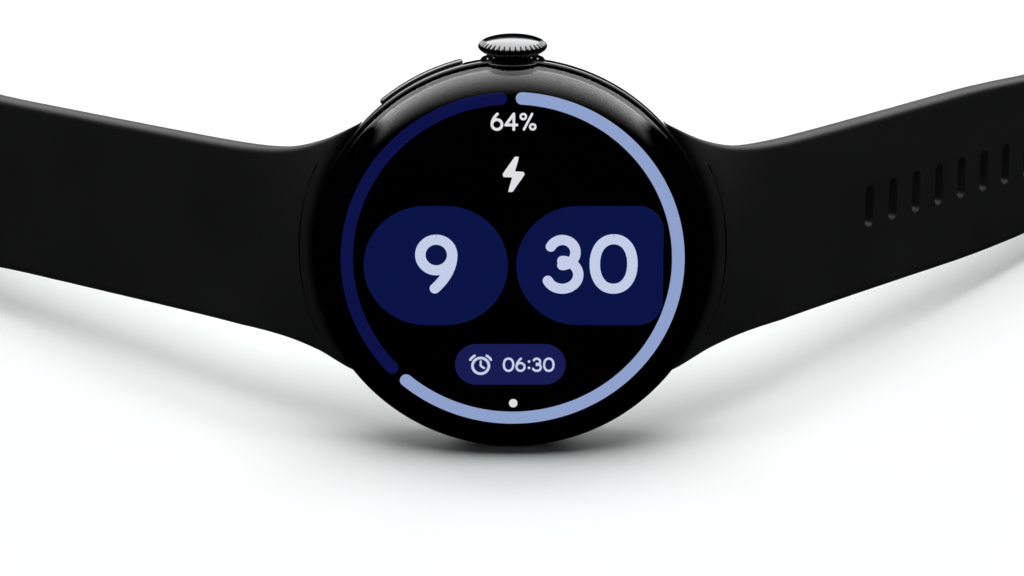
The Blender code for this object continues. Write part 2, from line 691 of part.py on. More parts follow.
def build_fastener(end):
    """The tuck slot that the tail passes through, and the stud that goes into one of its slots."""
    length = FASTENER["length"]
    outline = stadium(TUCK_LENGTH, TUCK_WIDTH)
    matrix = on_strap(FASTENER, length - TUCK_FROM_END)
    boolean(end, outline_plate("tuck_cutter", outline, -3 * MM, 3 * MM, matrix=matrix))
    boolean(end, stud_shape("stud_room", [(0.0, -2.0), (0.95, -2.0), (0.95, 5.0), (0.0, 5.0)]))
    stud = [(0.0, -0.75), (1.1, -0.75), (1.5, -0.5), (1.5, -0.3), (0.62, -0.3), (0.62, 3.1)]
    stud += [(0.75, 3.3), (0.75, 4.2), (0.5, 4.6), (0.0, 4.6)]
    stud_shape("strap_stud", stud, "bright_metal")


def stud_shape(name, profile, kind=None):
    """A turned shape stretched across the strap, its height zero on the strap's outer face."""
    stretch = Matrix.Diagonal((1.0, 1.0, 2.2, 1.0))
    matrix = on_strap(FASTENER, FASTENER["length"] - STUD_FROM_END, 0.0) @ stretch @ AIM_DEPTH
    return turned(name, [(r * MM, h * MM) for r, h in profile], kind, 16, matrix)


def stand_on_origin():
    """Leans the watch back and puts the middle of its box's foot on the origin."""
    watch.rotation_euler = (-LEAN_BACK, 0.0, 0.0)
    bpy.context.view_layer.update()
    graph = bpy.context.evaluated_depsgraph_get()
    points = []
    for obj in parts.objects:
        if obj.type == "MESH":
            evaluated = obj.evaluated_get(graph)
            mesh = evaluated.to_mesh()
            points += [evaluated.matrix_world @ vertex.co for vertex in mesh.vertices]
            evaluated.to_mesh_clear()
    low, high = np.min(points, axis=0), np.max(points, axis=0)
    watch.location = (-(low[0] + high[0]) / 2, -(low[1] + high[1]) / 2, -low[2])


build_front()
build_case()
build_inside()
build_crown()
build_side_button()
fastener_middle, fastener_end = build_strap(FASTENER)
tail_middle, tail_end = build_strap(TAIL)
cut_slots(tail_middle, tail_end)
build_fastener(fastener_end)
stand_on_origin()
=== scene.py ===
"""Looks of a round smartwatch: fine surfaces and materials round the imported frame.

Shapes are worked out in the watch's own axes and put into the row frame at the end: x towards the tail
strap, depth away from the wearer's eye, z towards the crown. Lengths in the functions are millimetres.
"""

import json
import math

import bpy
import numpy as np
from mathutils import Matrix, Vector

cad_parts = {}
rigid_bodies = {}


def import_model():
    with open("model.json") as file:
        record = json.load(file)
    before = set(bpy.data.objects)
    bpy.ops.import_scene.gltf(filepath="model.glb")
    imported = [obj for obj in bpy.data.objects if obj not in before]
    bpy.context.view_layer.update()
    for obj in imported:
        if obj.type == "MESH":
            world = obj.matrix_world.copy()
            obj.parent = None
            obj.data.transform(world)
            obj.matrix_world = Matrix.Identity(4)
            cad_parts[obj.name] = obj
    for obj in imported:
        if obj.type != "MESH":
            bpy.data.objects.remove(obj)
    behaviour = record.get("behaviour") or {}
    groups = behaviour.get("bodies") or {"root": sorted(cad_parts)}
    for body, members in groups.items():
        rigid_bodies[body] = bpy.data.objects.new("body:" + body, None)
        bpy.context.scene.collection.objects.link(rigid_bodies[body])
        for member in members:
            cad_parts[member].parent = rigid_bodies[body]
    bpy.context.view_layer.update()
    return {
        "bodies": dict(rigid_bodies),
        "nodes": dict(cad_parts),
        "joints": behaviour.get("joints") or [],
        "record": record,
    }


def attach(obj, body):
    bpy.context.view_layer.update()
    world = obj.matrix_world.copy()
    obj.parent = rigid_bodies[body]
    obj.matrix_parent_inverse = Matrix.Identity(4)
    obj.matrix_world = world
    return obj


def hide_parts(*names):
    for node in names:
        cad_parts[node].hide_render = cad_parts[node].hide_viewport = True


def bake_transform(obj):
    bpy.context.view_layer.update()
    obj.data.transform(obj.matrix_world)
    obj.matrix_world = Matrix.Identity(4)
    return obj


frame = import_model()
bodies, nodes = frame["bodies"], frame["nodes"]
joints = {joint["name"]: joint for joint in frame["joints"]}
mounts = {mount["name"]: mount for mount in frame["record"]["mounts"]}

# Driving dimensions, in millimetres
MM = 0.001
CASE_R = 22.5
FRONT_RISE = 6.2
BACK_DEPTH = 4.8
BACK_FLAT_R = 14.0
WINDOW_DEPTH = 6.1
GLASS_R = 22.05
GLASS_INNER_R = 21.3
GLASS_THICK = 0.9
GLASS_EDGE = -1.15
COVER_R = 16.0
WINDOW_R = 9.3
SCREEN_RISE = 2.7
SCREEN_R = 19.4
SCREEN_THICK = 0.3
DOT_PITCH = 0.08
PLATE_THICK = 0.03
FIELD_LIFT, MARK_LIFT = 0.03, 0.06
STRAP_THICK = 2.4
STRAP_ROUND = 0.8
STRAP_START_R = 22.75
STRAP_START_DEPTH = 0.9
ROOT_HALF = 15.0
WAIST_HALF = 10.6
FLARE_LENGTH = 4.2
TAPER_START = 45.0
TAPER_REST = 10.0
TIP_LENGTH = 7.0
SHOULDER_ANGLE = math.radians(20.0)
SHOULDER_R = 6.0
CROWN_DEPTH = 1.2
CROWN_R = 3.85
CROWN_WAIST_R = 2.8
CROWN_BOTTOM = 22.75
CROWN_MIDDLE = 23.6
CROWN_TOP = 24.75
FLUTES = 36
FLUTE_DEPTH = 0.32
NECK_R, NECK_END = 2.2, 22.4
FLUTE_TOP = 24.3
BUTTON_FROM = math.radians(14.3)
BUTTON_TO = math.radians(40.6)
BUTTON_DEPTH = 1.05
CHANNEL = (1.55, 2.85)
CHANNEL_HALF_DEGREES = 24.3
LATCH_X = 20.2
SCREW_RING_R = 13.4
CUT_SHARP = 30.0

# Room and camera, in metres and degrees
CANOPY_STRENGTH = 4.2
FLOOR_HALF = 1.6
CAMERA_ELEVATION = 26.72
CAMERA_DISTANCE = 0.42
CAMERA_DROP = 0.00389
CAMERA_ASIDE = -0.0000675
CAMERA_LENS = 131.24

FASTENER = {
    "name": "fastener",
    "side": -1,
    "slope": math.radians(38.0),
    "straight": 50.0,
    "bend_r": 60.0,
    "length": 87.0,
    "hinges": (11.0, 47.0),
    "end_half": 11.78,
}
TAIL = {
    "name": "tail",
    "side": 1,
    "slope": math.radians(47.5),
    "straight": 58.5,
    "bend_r": 40.0,
    "length": 94.0,
    "hinges": (12.0, 54.0),
    "end_half": 9.14,
}
SLOT_FIRST, SLOT_PITCH, SLOT_COUNT = 28.0, 4.6, 13
SLOT_LENGTH, SLOT_WIDTH = 5.2, 1.6
TUCK_FROM_END, TUCK_LENGTH, TUCK_WIDTH = 8.2, 18.6, 6.8
STUD_FROM_END = 17.5

# The watch's axes in the row frame, from the crown's joint and the back's mount
AXIS_Z = np.array(joints["crown_turn"]["axis"])
AXIS_Y = np.array(mounts["wrist_face"]["axis"])
AXIS_X = np.cross(AXIS_Y, AXIS_Z)
CENTRE = np.array(mounts["wrist_face"]["pos_m"]) - AXIS_Y * WINDOW_DEPTH * MM


def in_row(points):
    """Points of the watch's axes, in millimetres, as row frame points in metres."""
    points = np.asarray(points, float) * MM
    return CENTRE + points[..., :1] * AXIS_X + points[..., 1:2] * AXIS_Y + points[..., 2:3] * AXIS_Z


# Meshes from grids of points


def grid_faces(rows, columns, wrap_rows):
    """Quads between neighbouring points of a grid whose columns always wrap round."""
    row = np.arange(rows if wrap_rows else rows - 1)[:, None]
    column = np.arange(columns)[None, :]
    after_row, after_column = (row + 1) % rows, (column + 1) % columns
    corners = (
        row * columns + column,
        row * columns + after_column,
        after_row * columns + after_column,
        after_row * columns + column,
    )
    return np.stack([np.broadcast_to(c, (len(row), columns)) for c in corners], -1).reshape(-1, 4)


def zip_faces(loop):
    """Quads that close a loop flat, each pairing a stretch of its first half with the opposite one."""
    half = len(loop) // 2
    near, far = loop[:half], loop[::-1][:half]
    return np.stack([near[:-1], near[1:], far[1:], far[:-1]], -1)


def shell(grid, cap="zip", wrap_rows=False):
    """(points, faces) of a grid of loops: each row is a closed loop, and the first and last are capped.

    A "pole" cap draws its loop to its middle point; a "zip" cap joins the two halves of a flat loop.
    """
    rows, columns = grid.shape[:2]
    points = grid.reshape(-1, 3)
    faces = [grid_faces(rows, columns, wrap_rows)]
    if not wrap_rows:
        loops = (np.arange(columns)[::-1], np.arange(columns) + (rows - 1) * columns)
        for loop in loops:
            if cap == "zip":
                faces.append(zip_faces(loop))
            else:
                middle = len(points)
                points = np.vstack([points, points[loop].mean(0)])
                fan = np.stack([loop, np.roll(loop, -1), np.full(columns, middle)], -1)
                faces.append(np.hstack([fan, fan[:, 2:]]))
    return points, np.vstack(faces)


def volume(points, faces):
    """Signed volume inside quads, for telling which way they face."""
    a, b, c, d = (points[faces[:, i]] for i in range(4))
    return np.einsum("ij,ij->", a, np.cross(b, c)) + np.einsum("ij,ij->", a, np.cross(c, d))


def mesh_of(name, points, faces):
    """A mesh from whole arrays; a quad that names its last point twice becomes a triangle."""
    triangle = faces[:, 2] == faces[:, 3]
    kept = np.ones(faces.shape, bool)
    kept[:, 3] = ~triangle
    sizes = np.where(triangle, 3, 4)
    mesh = bpy.data.meshes.new(name)
    mesh.vertices.add(len(points))
    mesh.vertices.foreach_set("co", points.astype(np.float32).ravel())
    mesh.loops.add(int(sizes.sum()))
    mesh.loops.foreach_set("vertex_index", faces[kept].astype(np.int32))
    mesh.polygons.add(len(faces))
    mesh.polygons.foreach_set("loop_start", np.concatenate([[0], np.cumsum(sizes)[:-1]]).astype(np.int32))
    mesh.update(calc_edges=True)
    mesh.validate()
    return mesh


def linked(name, data):
    """A new object with the given data, in the scene."""
    made = bpy.data.objects.new(name, data)
    bpy.context.scene.collection.objects.link(made)
    return made


def outward(points, faces):
    """The faces, each turned round if the shell they make is inside out."""
    if volume(points - points.mean(0), faces) >= 0:
        return faces
    triangle = (faces[:, 2] == faces[:, 3])[:, None]
    return np.where(triangle, faces[:, [2, 1, 0, 0]], faces[:, ::-1])


def piece(name, shells, material, sharp=40.0):
    """A mesh object from (points, faces) shells in the watch's axes, its faces turned outwards."""
    all_points, all_faces, start = [], [], 0
    for points, faces in shells:
        placed = in_row(points)
        all_points.append(placed)
        all_faces.append(outward(placed, faces) + start)
        start += len(points)
    mesh = mesh_of(name, np.vstack(all_points), np.vstack(all_faces))
    obj = linked(name, mesh)
    mesh.shade_smooth()
    mesh.set_sharp_from_angle(angle=math.radians(sharp))
    mesh.materials.append(material)
    return obj


def rounded(corners, radius, count=5, closed=False):
    """A profile with each corner replaced by a quadratic curve that touches both of its sides."""
    corners = np.array(corners, float)
    made = []
    last = len(corners) - 1
    share = np.linspace(0.0, 1.0, count)[:, None]
    for i, corner in enumerate(corners):
        if not closed and i in (0, last):
            made.append(corner[None])
            continue
        before, after = corners[i - 1] - corner, corners[(i + 1) % (last + 1)] - corner
        reach = min(radius, 0.45 * np.hypot(*before), 0.45 * np.hypot(*after))
        start = corner + before / np.hypot(*before) * reach
        end = corner + after / np.hypot(*after) * reach
        made.append((1 - share) ** 2 * start + 2 * share * (1 - share) * corner + share**2 * end)
    return np.vstack(made)


def turned(profile, steps=96, ring=False, around="depth", middle=(0.0, 0.0)):
    """A shell turned from (radius, height) points about the depth axis, or about the crown's."""
    profile = np.asarray(profile, float)
    if not ring:
        profile = profile[profile[:, 0] > 1e-6]
    angle = np.linspace(0.0, math.tau, steps, endpoint=False)[None, :]
    across, up = profile[:, :1] * np.cos(angle), profile[:, :1] * np.sin(angle)
    height = np.broadcast_to(profile[:, 1:], across.shape)
    if around == "depth":
        grid = np.stack([across + middle[0], height, up + middle[1]], -1)
    else:
        grid = np.stack([across + middle[0], up + middle[1], height], -1)
    return shell(grid, "pole", ring)


# Node groups shared by the materials


def feed(tree, made, **inputs):
    """Feeds a node's inputs by name: a socket given as a value is linked, and a plain value is set."""
    for name, value in inputs.items():
        socket = made.inputs[name.replace("_", " ")]
        if isinstance(value, bpy.types.NodeSocket):
            tree.links.new(value, socket)
        else:
            socket.default_value = value


def node(tree, kind, **inputs):
    """A shader node with its inputs fed by name."""
    made = tree.nodes.new(kind)
    feed(tree, made, **inputs)
    return made


def by_place(tree, made, values):
    """Feeds a node's inputs by number, where their names repeat."""
    for place, value in values.items():
        if isinstance(value, bpy.types.NodeSocket):
            tree.links.new(value, made.inputs[place])
        else:
            made.inputs[place].default_value = value


def calculate(tree, operation, *values):
    """The output of a Math node on sockets and numbers."""
    made = tree.nodes.new("ShaderNodeMath")
    made.operation = operation
    by_place(tree, made, dict(enumerate(values)))
    return made.outputs[0]


def mixed(tree, share, one, two, blend="MIX"):
    """Two colours mixed by a share."""
    made = tree.nodes.new("ShaderNodeMix")
    made.data_type, made.blend_type = "RGBA", blend
    by_place(tree, made, {0: share, 6: one, 7: two})
    return made.outputs[2]


def remapped(tree, value, **inputs):
    """A value carried from one range to another, by default from 0 to 1."""
    return node(tree, "ShaderNodeMapRange", Value=value, **inputs).outputs["Result"]


def group(name, inputs, outputs):
    """An empty shader node group with float or colour sockets, and its input and output nodes."""
    tree = bpy.data.node_groups.new(name, "ShaderNodeTree")
    for socket, value in inputs:
        kind = "NodeSocketFloat" if isinstance(value, float) else "NodeSocketColor"
        made = tree.interface.new_socket(socket, in_out="INPUT", socket_type=kind)
        made.default_value = value
    for socket, kind in outputs:
        tree.interface.new_socket(socket, in_out="OUTPUT", socket_type=kind)
    return tree, tree.nodes.new("NodeGroupInput"), tree.nodes.new("NodeGroupOutput")


def mottle_group():
    """Two colours mixed by cloudy noise of a given scale, with a fine grain as height, and roughness."""
    tree, given, made = group(
        "mottle",
        [
            ("Color 1", (0.5, 0.5, 0.5, 1.0)),
            ("Color 2", (0.5, 0.5, 0.5, 1.0)),
            ("Cloud Scale", 200.0),
            ("Grain Scale", 4000.0),
            ("Rough Low", 0.4),
            ("Rough High", 0.6),
        ],
        [("Color", "NodeSocketColor"), ("Roughness", "NodeSocketFloat"), ("Grain", "NodeSocketFloat")],
    )
    spot = tree.nodes.new("ShaderNodeTexCoord").outputs["Object"]
    noise = (
        node(tree, "ShaderNodeTexNoise", Vector=spot, Scale=given.outputs[scale], Detail=detail)
        for scale, detail in (("Cloud Scale", 4.0), ("Grain Scale", 2.0))
    )
    cloud, grain = (made_noise.outputs["Fac"] for made_noise in noise)
    colour = mixed(tree, cloud, given.outputs["Color 1"], given.outputs["Color 2"])
    rough = remapped(tree, cloud, To_Min=given.outputs["Rough Low"], To_Max=given.outputs["Rough High"])
    feed(tree, made, Color=colour, Roughness=rough, Grain=grain)
    return tree


def brushed_group():
    """Fine straight lines along one direction, as noise stretched twenty-fold, for height and roughness."""
    tree, given, made = group(
        "brushed",
        [("Scale", 3000.0), ("Rough Low", 0.2), ("Rough High", 0.4)],
        [("Lines", "NodeSocketFloat"), ("Roughness", "NodeSocketFloat")],
    )
    spot = tree.nodes.new("ShaderNodeTexCoord").outputs["Object"]
    stretch = node(tree, "ShaderNodeMapping", Vector=spot, Scale=(0.05, 1.0, 1.0))
    noise = node(
        tree, "ShaderNodeTexNoise", Vector=stretch.outputs[0], Scale=given.outputs["Scale"], Detail=3.0
    )
    lines = noise.outputs["Fac"]
    rough = remapped(tree, lines, To_Min=given.outputs["Rough Low"], To_Max=given.outputs["Rough High"])
    feed(tree, made, Lines=lines, Roughness=rough)
    return tree


def dot_matrix_group():
    """A picture colour dimmed slightly between rows and columns of light dots.

    The level falls from 1 to 1 - depth as the smaller of two cosine waves, across and up, rises.
    """
    tree, given, made = group(
        "dot_matrix", [("Color", (1.0, 1.0, 1.0, 1.0)), ("Depth", 0.1)], [("Color", "NodeSocketColor")]
    )
    spot = tree.nodes.new("ShaderNodeTexCoord").outputs["Object"]
    apart = node(tree, "ShaderNodeSeparateXYZ", Vector=spot)
    pace = math.tau / (DOT_PITCH * MM)
    across, up = (
        calculate(tree, "COSINE", calculate(tree, "MULTIPLY", apart.outputs[axis], pace)) for axis in "XZ"
    )
    least = calculate(tree, "MINIMUM", across, up)
    dimmest = calculate(tree, "SUBTRACT", 1.0, given.outputs["Depth"])
    level = remapped(tree, least, From_Min=-1.0, To_Min=1.0, To_Max=dimmest)
    feed(tree, made, Color=mixed(tree, 1.0, given.outputs["Color"], level, "MULTIPLY"))
    return tree


MOTTLE, BRUSHED, DOTS = mottle_group(), brushed_group(), dot_matrix_group()


# Materials


def start_material(name, **constants):
    """A material with its Principled sockets set, and its tree and shader."""
    made = bpy.data.materials.new(name)
    made.use_nodes = True
    tree = made.node_tree
    shader = tree.nodes["Principled BSDF"]
    feed(tree, shader, **constants)
    return made, tree, shader


def use_group(tree, shared, **inputs):
    """A node that places a shared group in a material."""
    made = tree.nodes.new("ShaderNodeGroup")
    made.node_tree = shared
    feed(tree, made, **inputs)
    return made


def bump(tree, shader, height, distance):
    """Feeds a height into the shader's normal."""
    made = node(tree, "ShaderNodeBump", Height=height, Distance=distance, Strength=1.0)
    feed(tree, shader, Normal=made.outputs["Normal"])


def mottled(name, one, two, rough, cloud=200.0, grain=4000.0, height=0.00001, **constants):
    """A material whose colour and roughness drift in soft clouds over a fine grain."""
    made, tree, shader = start_material(name, **constants)
    shared = use_group(
        tree,
        MOTTLE,
        Color_1=(*one, 1.0),
        Color_2=(*two, 1.0),
        Cloud_Scale=cloud,
        Grain_Scale=grain,
        Rough_Low=rough[0],
        Rough_High=rough[1],
    )
    feed(tree, shader, Base_Color=shared.outputs["Color"], Roughness=shared.outputs["Roughness"])
    bump(tree, shader, shared.outputs["Grain"], height)
    return made


def brushed(name, colour, rough, scale=3000.0, height=0.000004):
    """A metal with fine brushed lines."""
    made, tree, shader = start_material(name, Base_Color=(*colour, 1.0), Metallic=1.0)
    shared = use_group(tree, BRUSHED, Scale=scale, Rough_Low=rough[0], Rough_High=rough[1])
    feed(tree, shader, Roughness=shared.outputs["Roughness"])
    bump(tree, shader, shared.outputs["Lines"], height)
    return made


def lit(name, colour):
    """A part of the picture on the screen, which gives its own light, dot by dot."""
    made, tree, shader = start_material(
        name, Base_Color=(0.0, 0.0, 0.0, 1.0), Roughness=0.5, Specular_IOR_Level=0.0
    )
    shared = use_group(tree, DOTS, Color=(*colour, 1.0), Depth=0.12)
    feed(tree, shader, Emission_Color=shared.outputs["Color"], Emission_Strength=1.0)
    return made


def clear_glass():
    """Clear glass with a faint unevenness of its polish."""
    made, tree, shader = start_material(
        "clear_glass", Base_Color=(1.0, 1.0, 1.0, 1.0), Transmission_Weight=1.0, IOR=1.48, Roughness=0.0
    )
    shared = use_group(tree, MOTTLE, Cloud_Scale=60.0, Grain_Scale=300.0, Rough_Low=0.0, Rough_High=0.012)
    feed(tree, shader, Roughness=shared.outputs["Roughness"])
    return made


BLACK_GLOSS = mottled(
    "black_gloss", (0.006, 0.006, 0.007), (0.009, 0.009, 0.01), (0.1, 0.16), 90.0, 2500.0, 0.0000003,
    Coat_Weight=1.0, Coat_Roughness=0.04,
)
CROWN_BLACK = mottled(
    "crown_black", (0.145, 0.145, 0.148), (0.175, 0.175, 0.178), (0.08, 0.14), 300.0, 5000.0, 0.0000003,
    Metallic=1.0,
)
RIM_METAL = brushed("rim_metal", (0.05, 0.05, 0.052), (0.16, 0.26), 2500.0, 0.000001)
CLEAR_GLASS = clear_glass()
SCREEN_BLACK = mottled(
    "screen_black", (0.0005, 0.0005, 0.0006), (0.0009, 0.0009, 0.0011), (0.35, 0.45), 50.0, 6000.0, 0.0,
    Specular_IOR_Level=0.0,
)
STRAP_RUBBER = mottled(
    "strap_rubber", (0.007, 0.007, 0.0072), (0.011, 0.011, 0.0112), (0.42, 0.55), 120.0, 5200.0, 0.000012,
    Specular_IOR_Level=0.3,
)
SEAL_RUBBER = mottled("seal_rubber", (0.02, 0.02, 0.02), (0.03, 0.03, 0.03), (0.6, 0.75))
INNER_PLASTIC = mottled("inner_plastic", (0.02, 0.02, 0.022), (0.035, 0.035, 0.037), (0.4, 0.55))
BACK_GLOSS = mottled(
    "back_gloss", (0.008, 0.008, 0.009), (0.012, 0.012, 0.013), (0.1, 0.18), 150.0, 3000.0, 0.0000005,
    Coat_Weight=0.6, Coat_Roughness=0.05,
)
WINDOW_GLASS = mottled(
    "window_glass", (0.004, 0.004, 0.006), (0.008, 0.008, 0.012), (0.03, 0.06), 120.0, 2500.0, 0.0000002,
    Coat_Weight=1.0, Coat_Roughness=0.02,
)
SENSOR_DARK = mottled("sensor_dark", (0.01, 0.01, 0.03), (0.02, 0.02, 0.05), (0.15, 0.25), 900.0)
LED_GREEN = mottled("led_green", (0.1, 0.5, 0.25), (0.2, 0.7, 0.35), (0.15, 0.25), 900.0)
BOARD_GREEN = mottled("board_green", (0.005, 0.05, 0.03), (0.01, 0.09, 0.05), (0.35, 0.5), 700.0)
FLEX_AMBER = mottled("flex_amber", (0.5, 0.28, 0.05), (0.65, 0.38, 0.08), (0.3, 0.45), 500.0)
FOIL = mottled(
    "foil", (0.5, 0.5, 0.52), (0.62, 0.62, 0.64), (0.3, 0.45), 400.0, 1500.0, 0.00003, Metallic=1.0
)
STEEL = brushed("steel", (0.55, 0.55, 0.55), (0.2, 0.35))
CAN_STEEL = brushed("can_steel", (0.62, 0.61, 0.58), (0.28, 0.42), 2000.0)
DARK_STEEL = brushed("dark_steel", (0.05, 0.05, 0.053), (0.2, 0.32))
GOLD = brushed("gold", (0.83, 0.6, 0.28), (0.18, 0.3))
ELECTRODE = brushed("electrode", (0.3, 0.3, 0.3), (0.2, 0.3), 4000.0)
PERIWINKLE = lit("picture_periwinkle", (0.305, 0.402, 0.68))
NAVY = lit("picture_navy", (0.0045, 0.007, 0.075))
PILL_NAVY = lit("picture_pill", (0.004, 0.008, 0.07))
ALARM_NAVY = lit("picture_alarm", (0.01, 0.013, 0.095))
LAVENDER = lit("picture_lavender", (0.62, 0.68, 0.9))
WHITE = lit("picture_white", (0.82, 0.82, 0.84))

KEPT_FINISHES = {
    "seal_rubber": SEAL_RUBBER,
    "shield_can": CAN_STEEL,
    "flex_circuit": FLEX_AMBER,
    "circuit_board": BOARD_GREEN,
    "inner_plastic": INNER_PLASTIC,
    "battery_foil": FOIL,
    "inner_steel": STEEL,
    "gold_plate": GOLD,
    "led": LED_GREEN,
    "photodiode": SENSOR_DARK,
    "electrode_metal": ELECTRODE,
    "connector_metal": DARK_STEEL,
    "display": SCREEN_BLACK,
}


# Case


def dome(radius, inset=0.0):
    """Rise of the dome that lies inset under the glass: its height times root(1 - (r / R) to the 4th)."""
    edge = CASE_R - inset
    return (FRONT_RISE - inset) * np.sqrt(np.clip(1.0 - (np.asarray(radius) / edge) ** 4, 0.0, 1.0))


def dome_profile(inset, out_to, count):
    """(radius, depth) of a dome from its middle outwards, closer together near its rim."""
    radius = out_to * np.sin(np.linspace(0.0, math.pi / 2, count))
    return np.stack([radius, -dome(radius, inset)], -1)


def bowl(radius):
    """Depth of the underside: a superellipse of power 2.2 from the flat back to the widest circle."""
    reach = np.clip((np.asarray(radius) - BACK_FLAT_R) / (CASE_R - BACK_FLAT_R), 0.0, 1.0)
    return BACK_DEPTH * (1.0 - reach**2.2) ** (1 / 2.2)


def make_glass():
    """The glass, turned from two domes one inside the other, and the black border under it."""
    outer = dome_profile(0.0, GLASS_R, 64)
    inner = dome_profile(GLASS_THICK, GLASS_INNER_R, 40)[::-1]
    rim = rounded([outer[-1], (GLASS_R, GLASS_EDGE), (GLASS_INNER_R, GLASS_EDGE), inner[0]], 0.12)[1:-1]
    glass = piece("domed_glass", [turned(np.vstack([outer, rim, inner]), 192)], CLEAR_GLASS, 60.0)
    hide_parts("cover_glass")
    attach(glass, "case")

    # The border is printed from the screen's edge to the rim
    under = np.linspace(19.45, 21.1, 16)
    border = np.stack([under, -dome(under, 0.96)], -1)
    back = np.stack([under, -dome(under, 0.96) + 0.05], -1)[::-1]
    printed = piece("glass_border", [turned(np.vstack([border, back]), 160, ring=True)], SCREEN_BLACK, 60.0)
    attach(printed, "case")


def make_screen():
    """The flat black panel under the glass, with a rounded edge, and its lit picture."""
    corners = [(0.02, -SCREEN_RISE), (SCREEN_R, -SCREEN_RISE), (SCREEN_R, SCREEN_THICK - SCREEN_RISE)]
    corners.append((0.02, SCREEN_THICK - SCREEN_RISE))
    panel = piece("screen_panel", [turned(rounded(corners, 0.1), 160)], SCREEN_BLACK, 60.0)
    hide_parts("display_panel")
    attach(panel, "case")
    make_picture()


def make_housing():
    """The case, turned from a lip, the bowl of its underside and its inside ledges, then bored."""
    lip = [(22.15, -0.95), (22.42, -0.95), (CASE_R, -0.75), (CASE_R, 0.0)]
    radius = CASE_R - (CASE_R - COVER_R - 0.15) * np.linspace(0.0, 1.0, 56)[1:] ** 1.7
    outside = np.vstack([rounded(lip, 0.08), np.stack([radius, bowl(radius)], -1)])
    ledge = [(COVER_R + 0.15, 4.6), (COVER_R + 0.15, 3.2), (14.6, 3.2), (14.6, 2.6), (18.6, 2.6)]
    inside = rounded(ledge + [(18.6, -0.3), (22.15, -0.3)], 0.1)
    profile = np.vstack([outside, inside[1:]])
    housing = piece("case_body", [turned(profile, 240, ring=True)], BLACK_GLOSS, 30.0)
    cutters = [
        prism("recess_for_charging", box_outline(3.75, 0.15, 2.05), (-24.0, -20.6), "up"),
        prism("bore_for_crown", circle_outline(1.35, 40, (0.0, CROWN_DEPTH)), (17.0, 24.0), "up"),
        prism("recess_for_crown", circle_outline(2.6, 64, (0.0, CROWN_DEPTH)), (22.15, 24.0), "up"),
    ]
    slot = (BUTTON_DEPTH - 0.82, BUTTON_DEPTH + 0.82)
    cutters.append(prism("recess_for_button", button_outline(20.9, 25.0, 0.12), slot))
    for side in (-1, 1):
        cutters.append(prism(f"channel_{side}", sector_outline(19.3, 26.0, side), CHANNEL))
        for name, radius, span in (("pit", 1.2, (0.3, 2.2)), ("hole", 0.75, (1.5, 5.0))):
            outline = circle_outline(radius, 32, (side * LATCH_X, 0.0))
            cutters.append(prism(f"latch_{name}_{side}", outline, span))
    cut(housing, cutters)
    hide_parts("case_housing")
    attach(housing, "case")

    corners = [(22.1, -1.16), (22.3, -1.16), (22.49, -0.99), (22.49, -0.96), (22.1, -0.96)]
    rim = piece("case_rim", [turned(rounded(corners, 0.06, 4, True), 240, ring=True)], RIM_METAL, 60.0)
    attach(rim, "case")


def box_outline(half, low, high):
    """A rectangle, as wide on both sides of the middle."""
    return [(-half, low), (half, low), (half, high), (-half, high)]


def circle_outline(radius, count, middle):
    """A circle as evenly spaced points."""
    angle = np.linspace(0.0, math.tau, count, endpoint=False)
    return np.stack([middle[0] + radius * np.cos(angle), middle[1] + radius * np.sin(angle)], -1)


def ring_part(inner_r, outer_r, angle):
    """The outline of a piece of a ring about the case's centre, over a run of angles."""
    way = np.stack([np.cos(angle), np.sin(angle)], -1)
    return np.vstack([outer_r * way, inner_r * way[::-1]])


def sector_outline(inner_r, outer_r, side, count=24):
    """A piece of a ring on the case's left or right side, as wide as a strap channel."""
    spread = np.radians(np.linspace(-CHANNEL_HALF_DEGREES, CHANNEL_HALF_DEGREES, count))
    return ring_part(inner_r, outer_r, (0.0 if side > 0 else math.pi) + spread)


def button_outline(inner_r, outer_r, margin, count=40):
    """A piece of a ring where the side button lies."""
    spread = margin / CASE_R
    angle = math.pi / 2 + np.linspace(BUTTON_FROM - spread, BUTTON_TO + spread, count)
    return ring_part(inner_r, outer_r, angle)


def prism(name, outline, span, along="depth", place=None):
    """A cutter with a flat outline; place maps (first, second, along) to the watch's axes."""
    outline = np.asarray(outline, float)
    first, second = np.broadcast_to(outline.T[:, None], (2, 2, len(outline)))
    level = np.broadcast_to(np.array(span)[:, None], first.shape)
    if place:
        grid = place(first, second, level)
    elif along == "depth":
        grid = np.stack([first, level, second], -1)
    else:
        grid = np.stack([first, second, level], -1)
    points, faces = shell(grid)
    points = in_row(points)
    return linked(name, mesh_of(name, points, outward(points, faces)))


def cut(obj, cutters):
    """Takes the cutters out of the object's mesh and removes them."""
    for cutter in cutters:
        modifier = obj.modifiers.new(cutter.name, "BOOLEAN")
        modifier.object, modifier.operation, modifier.solver = cutter, "DIFFERENCE", "EXACT"
    graph = bpy.context.evaluated_depsgraph_get()
    mesh = bpy.data.meshes.new_from_object(obj.evaluated_get(graph))
    obj.modifiers.clear()
    obj.data = mesh
    mesh.shade_smooth()
    mesh.set_sharp_from_angle(angle=math.radians(CUT_SHARP))
    for cutter in cutters:
        bpy.data.objects.remove(cutter)


# Back


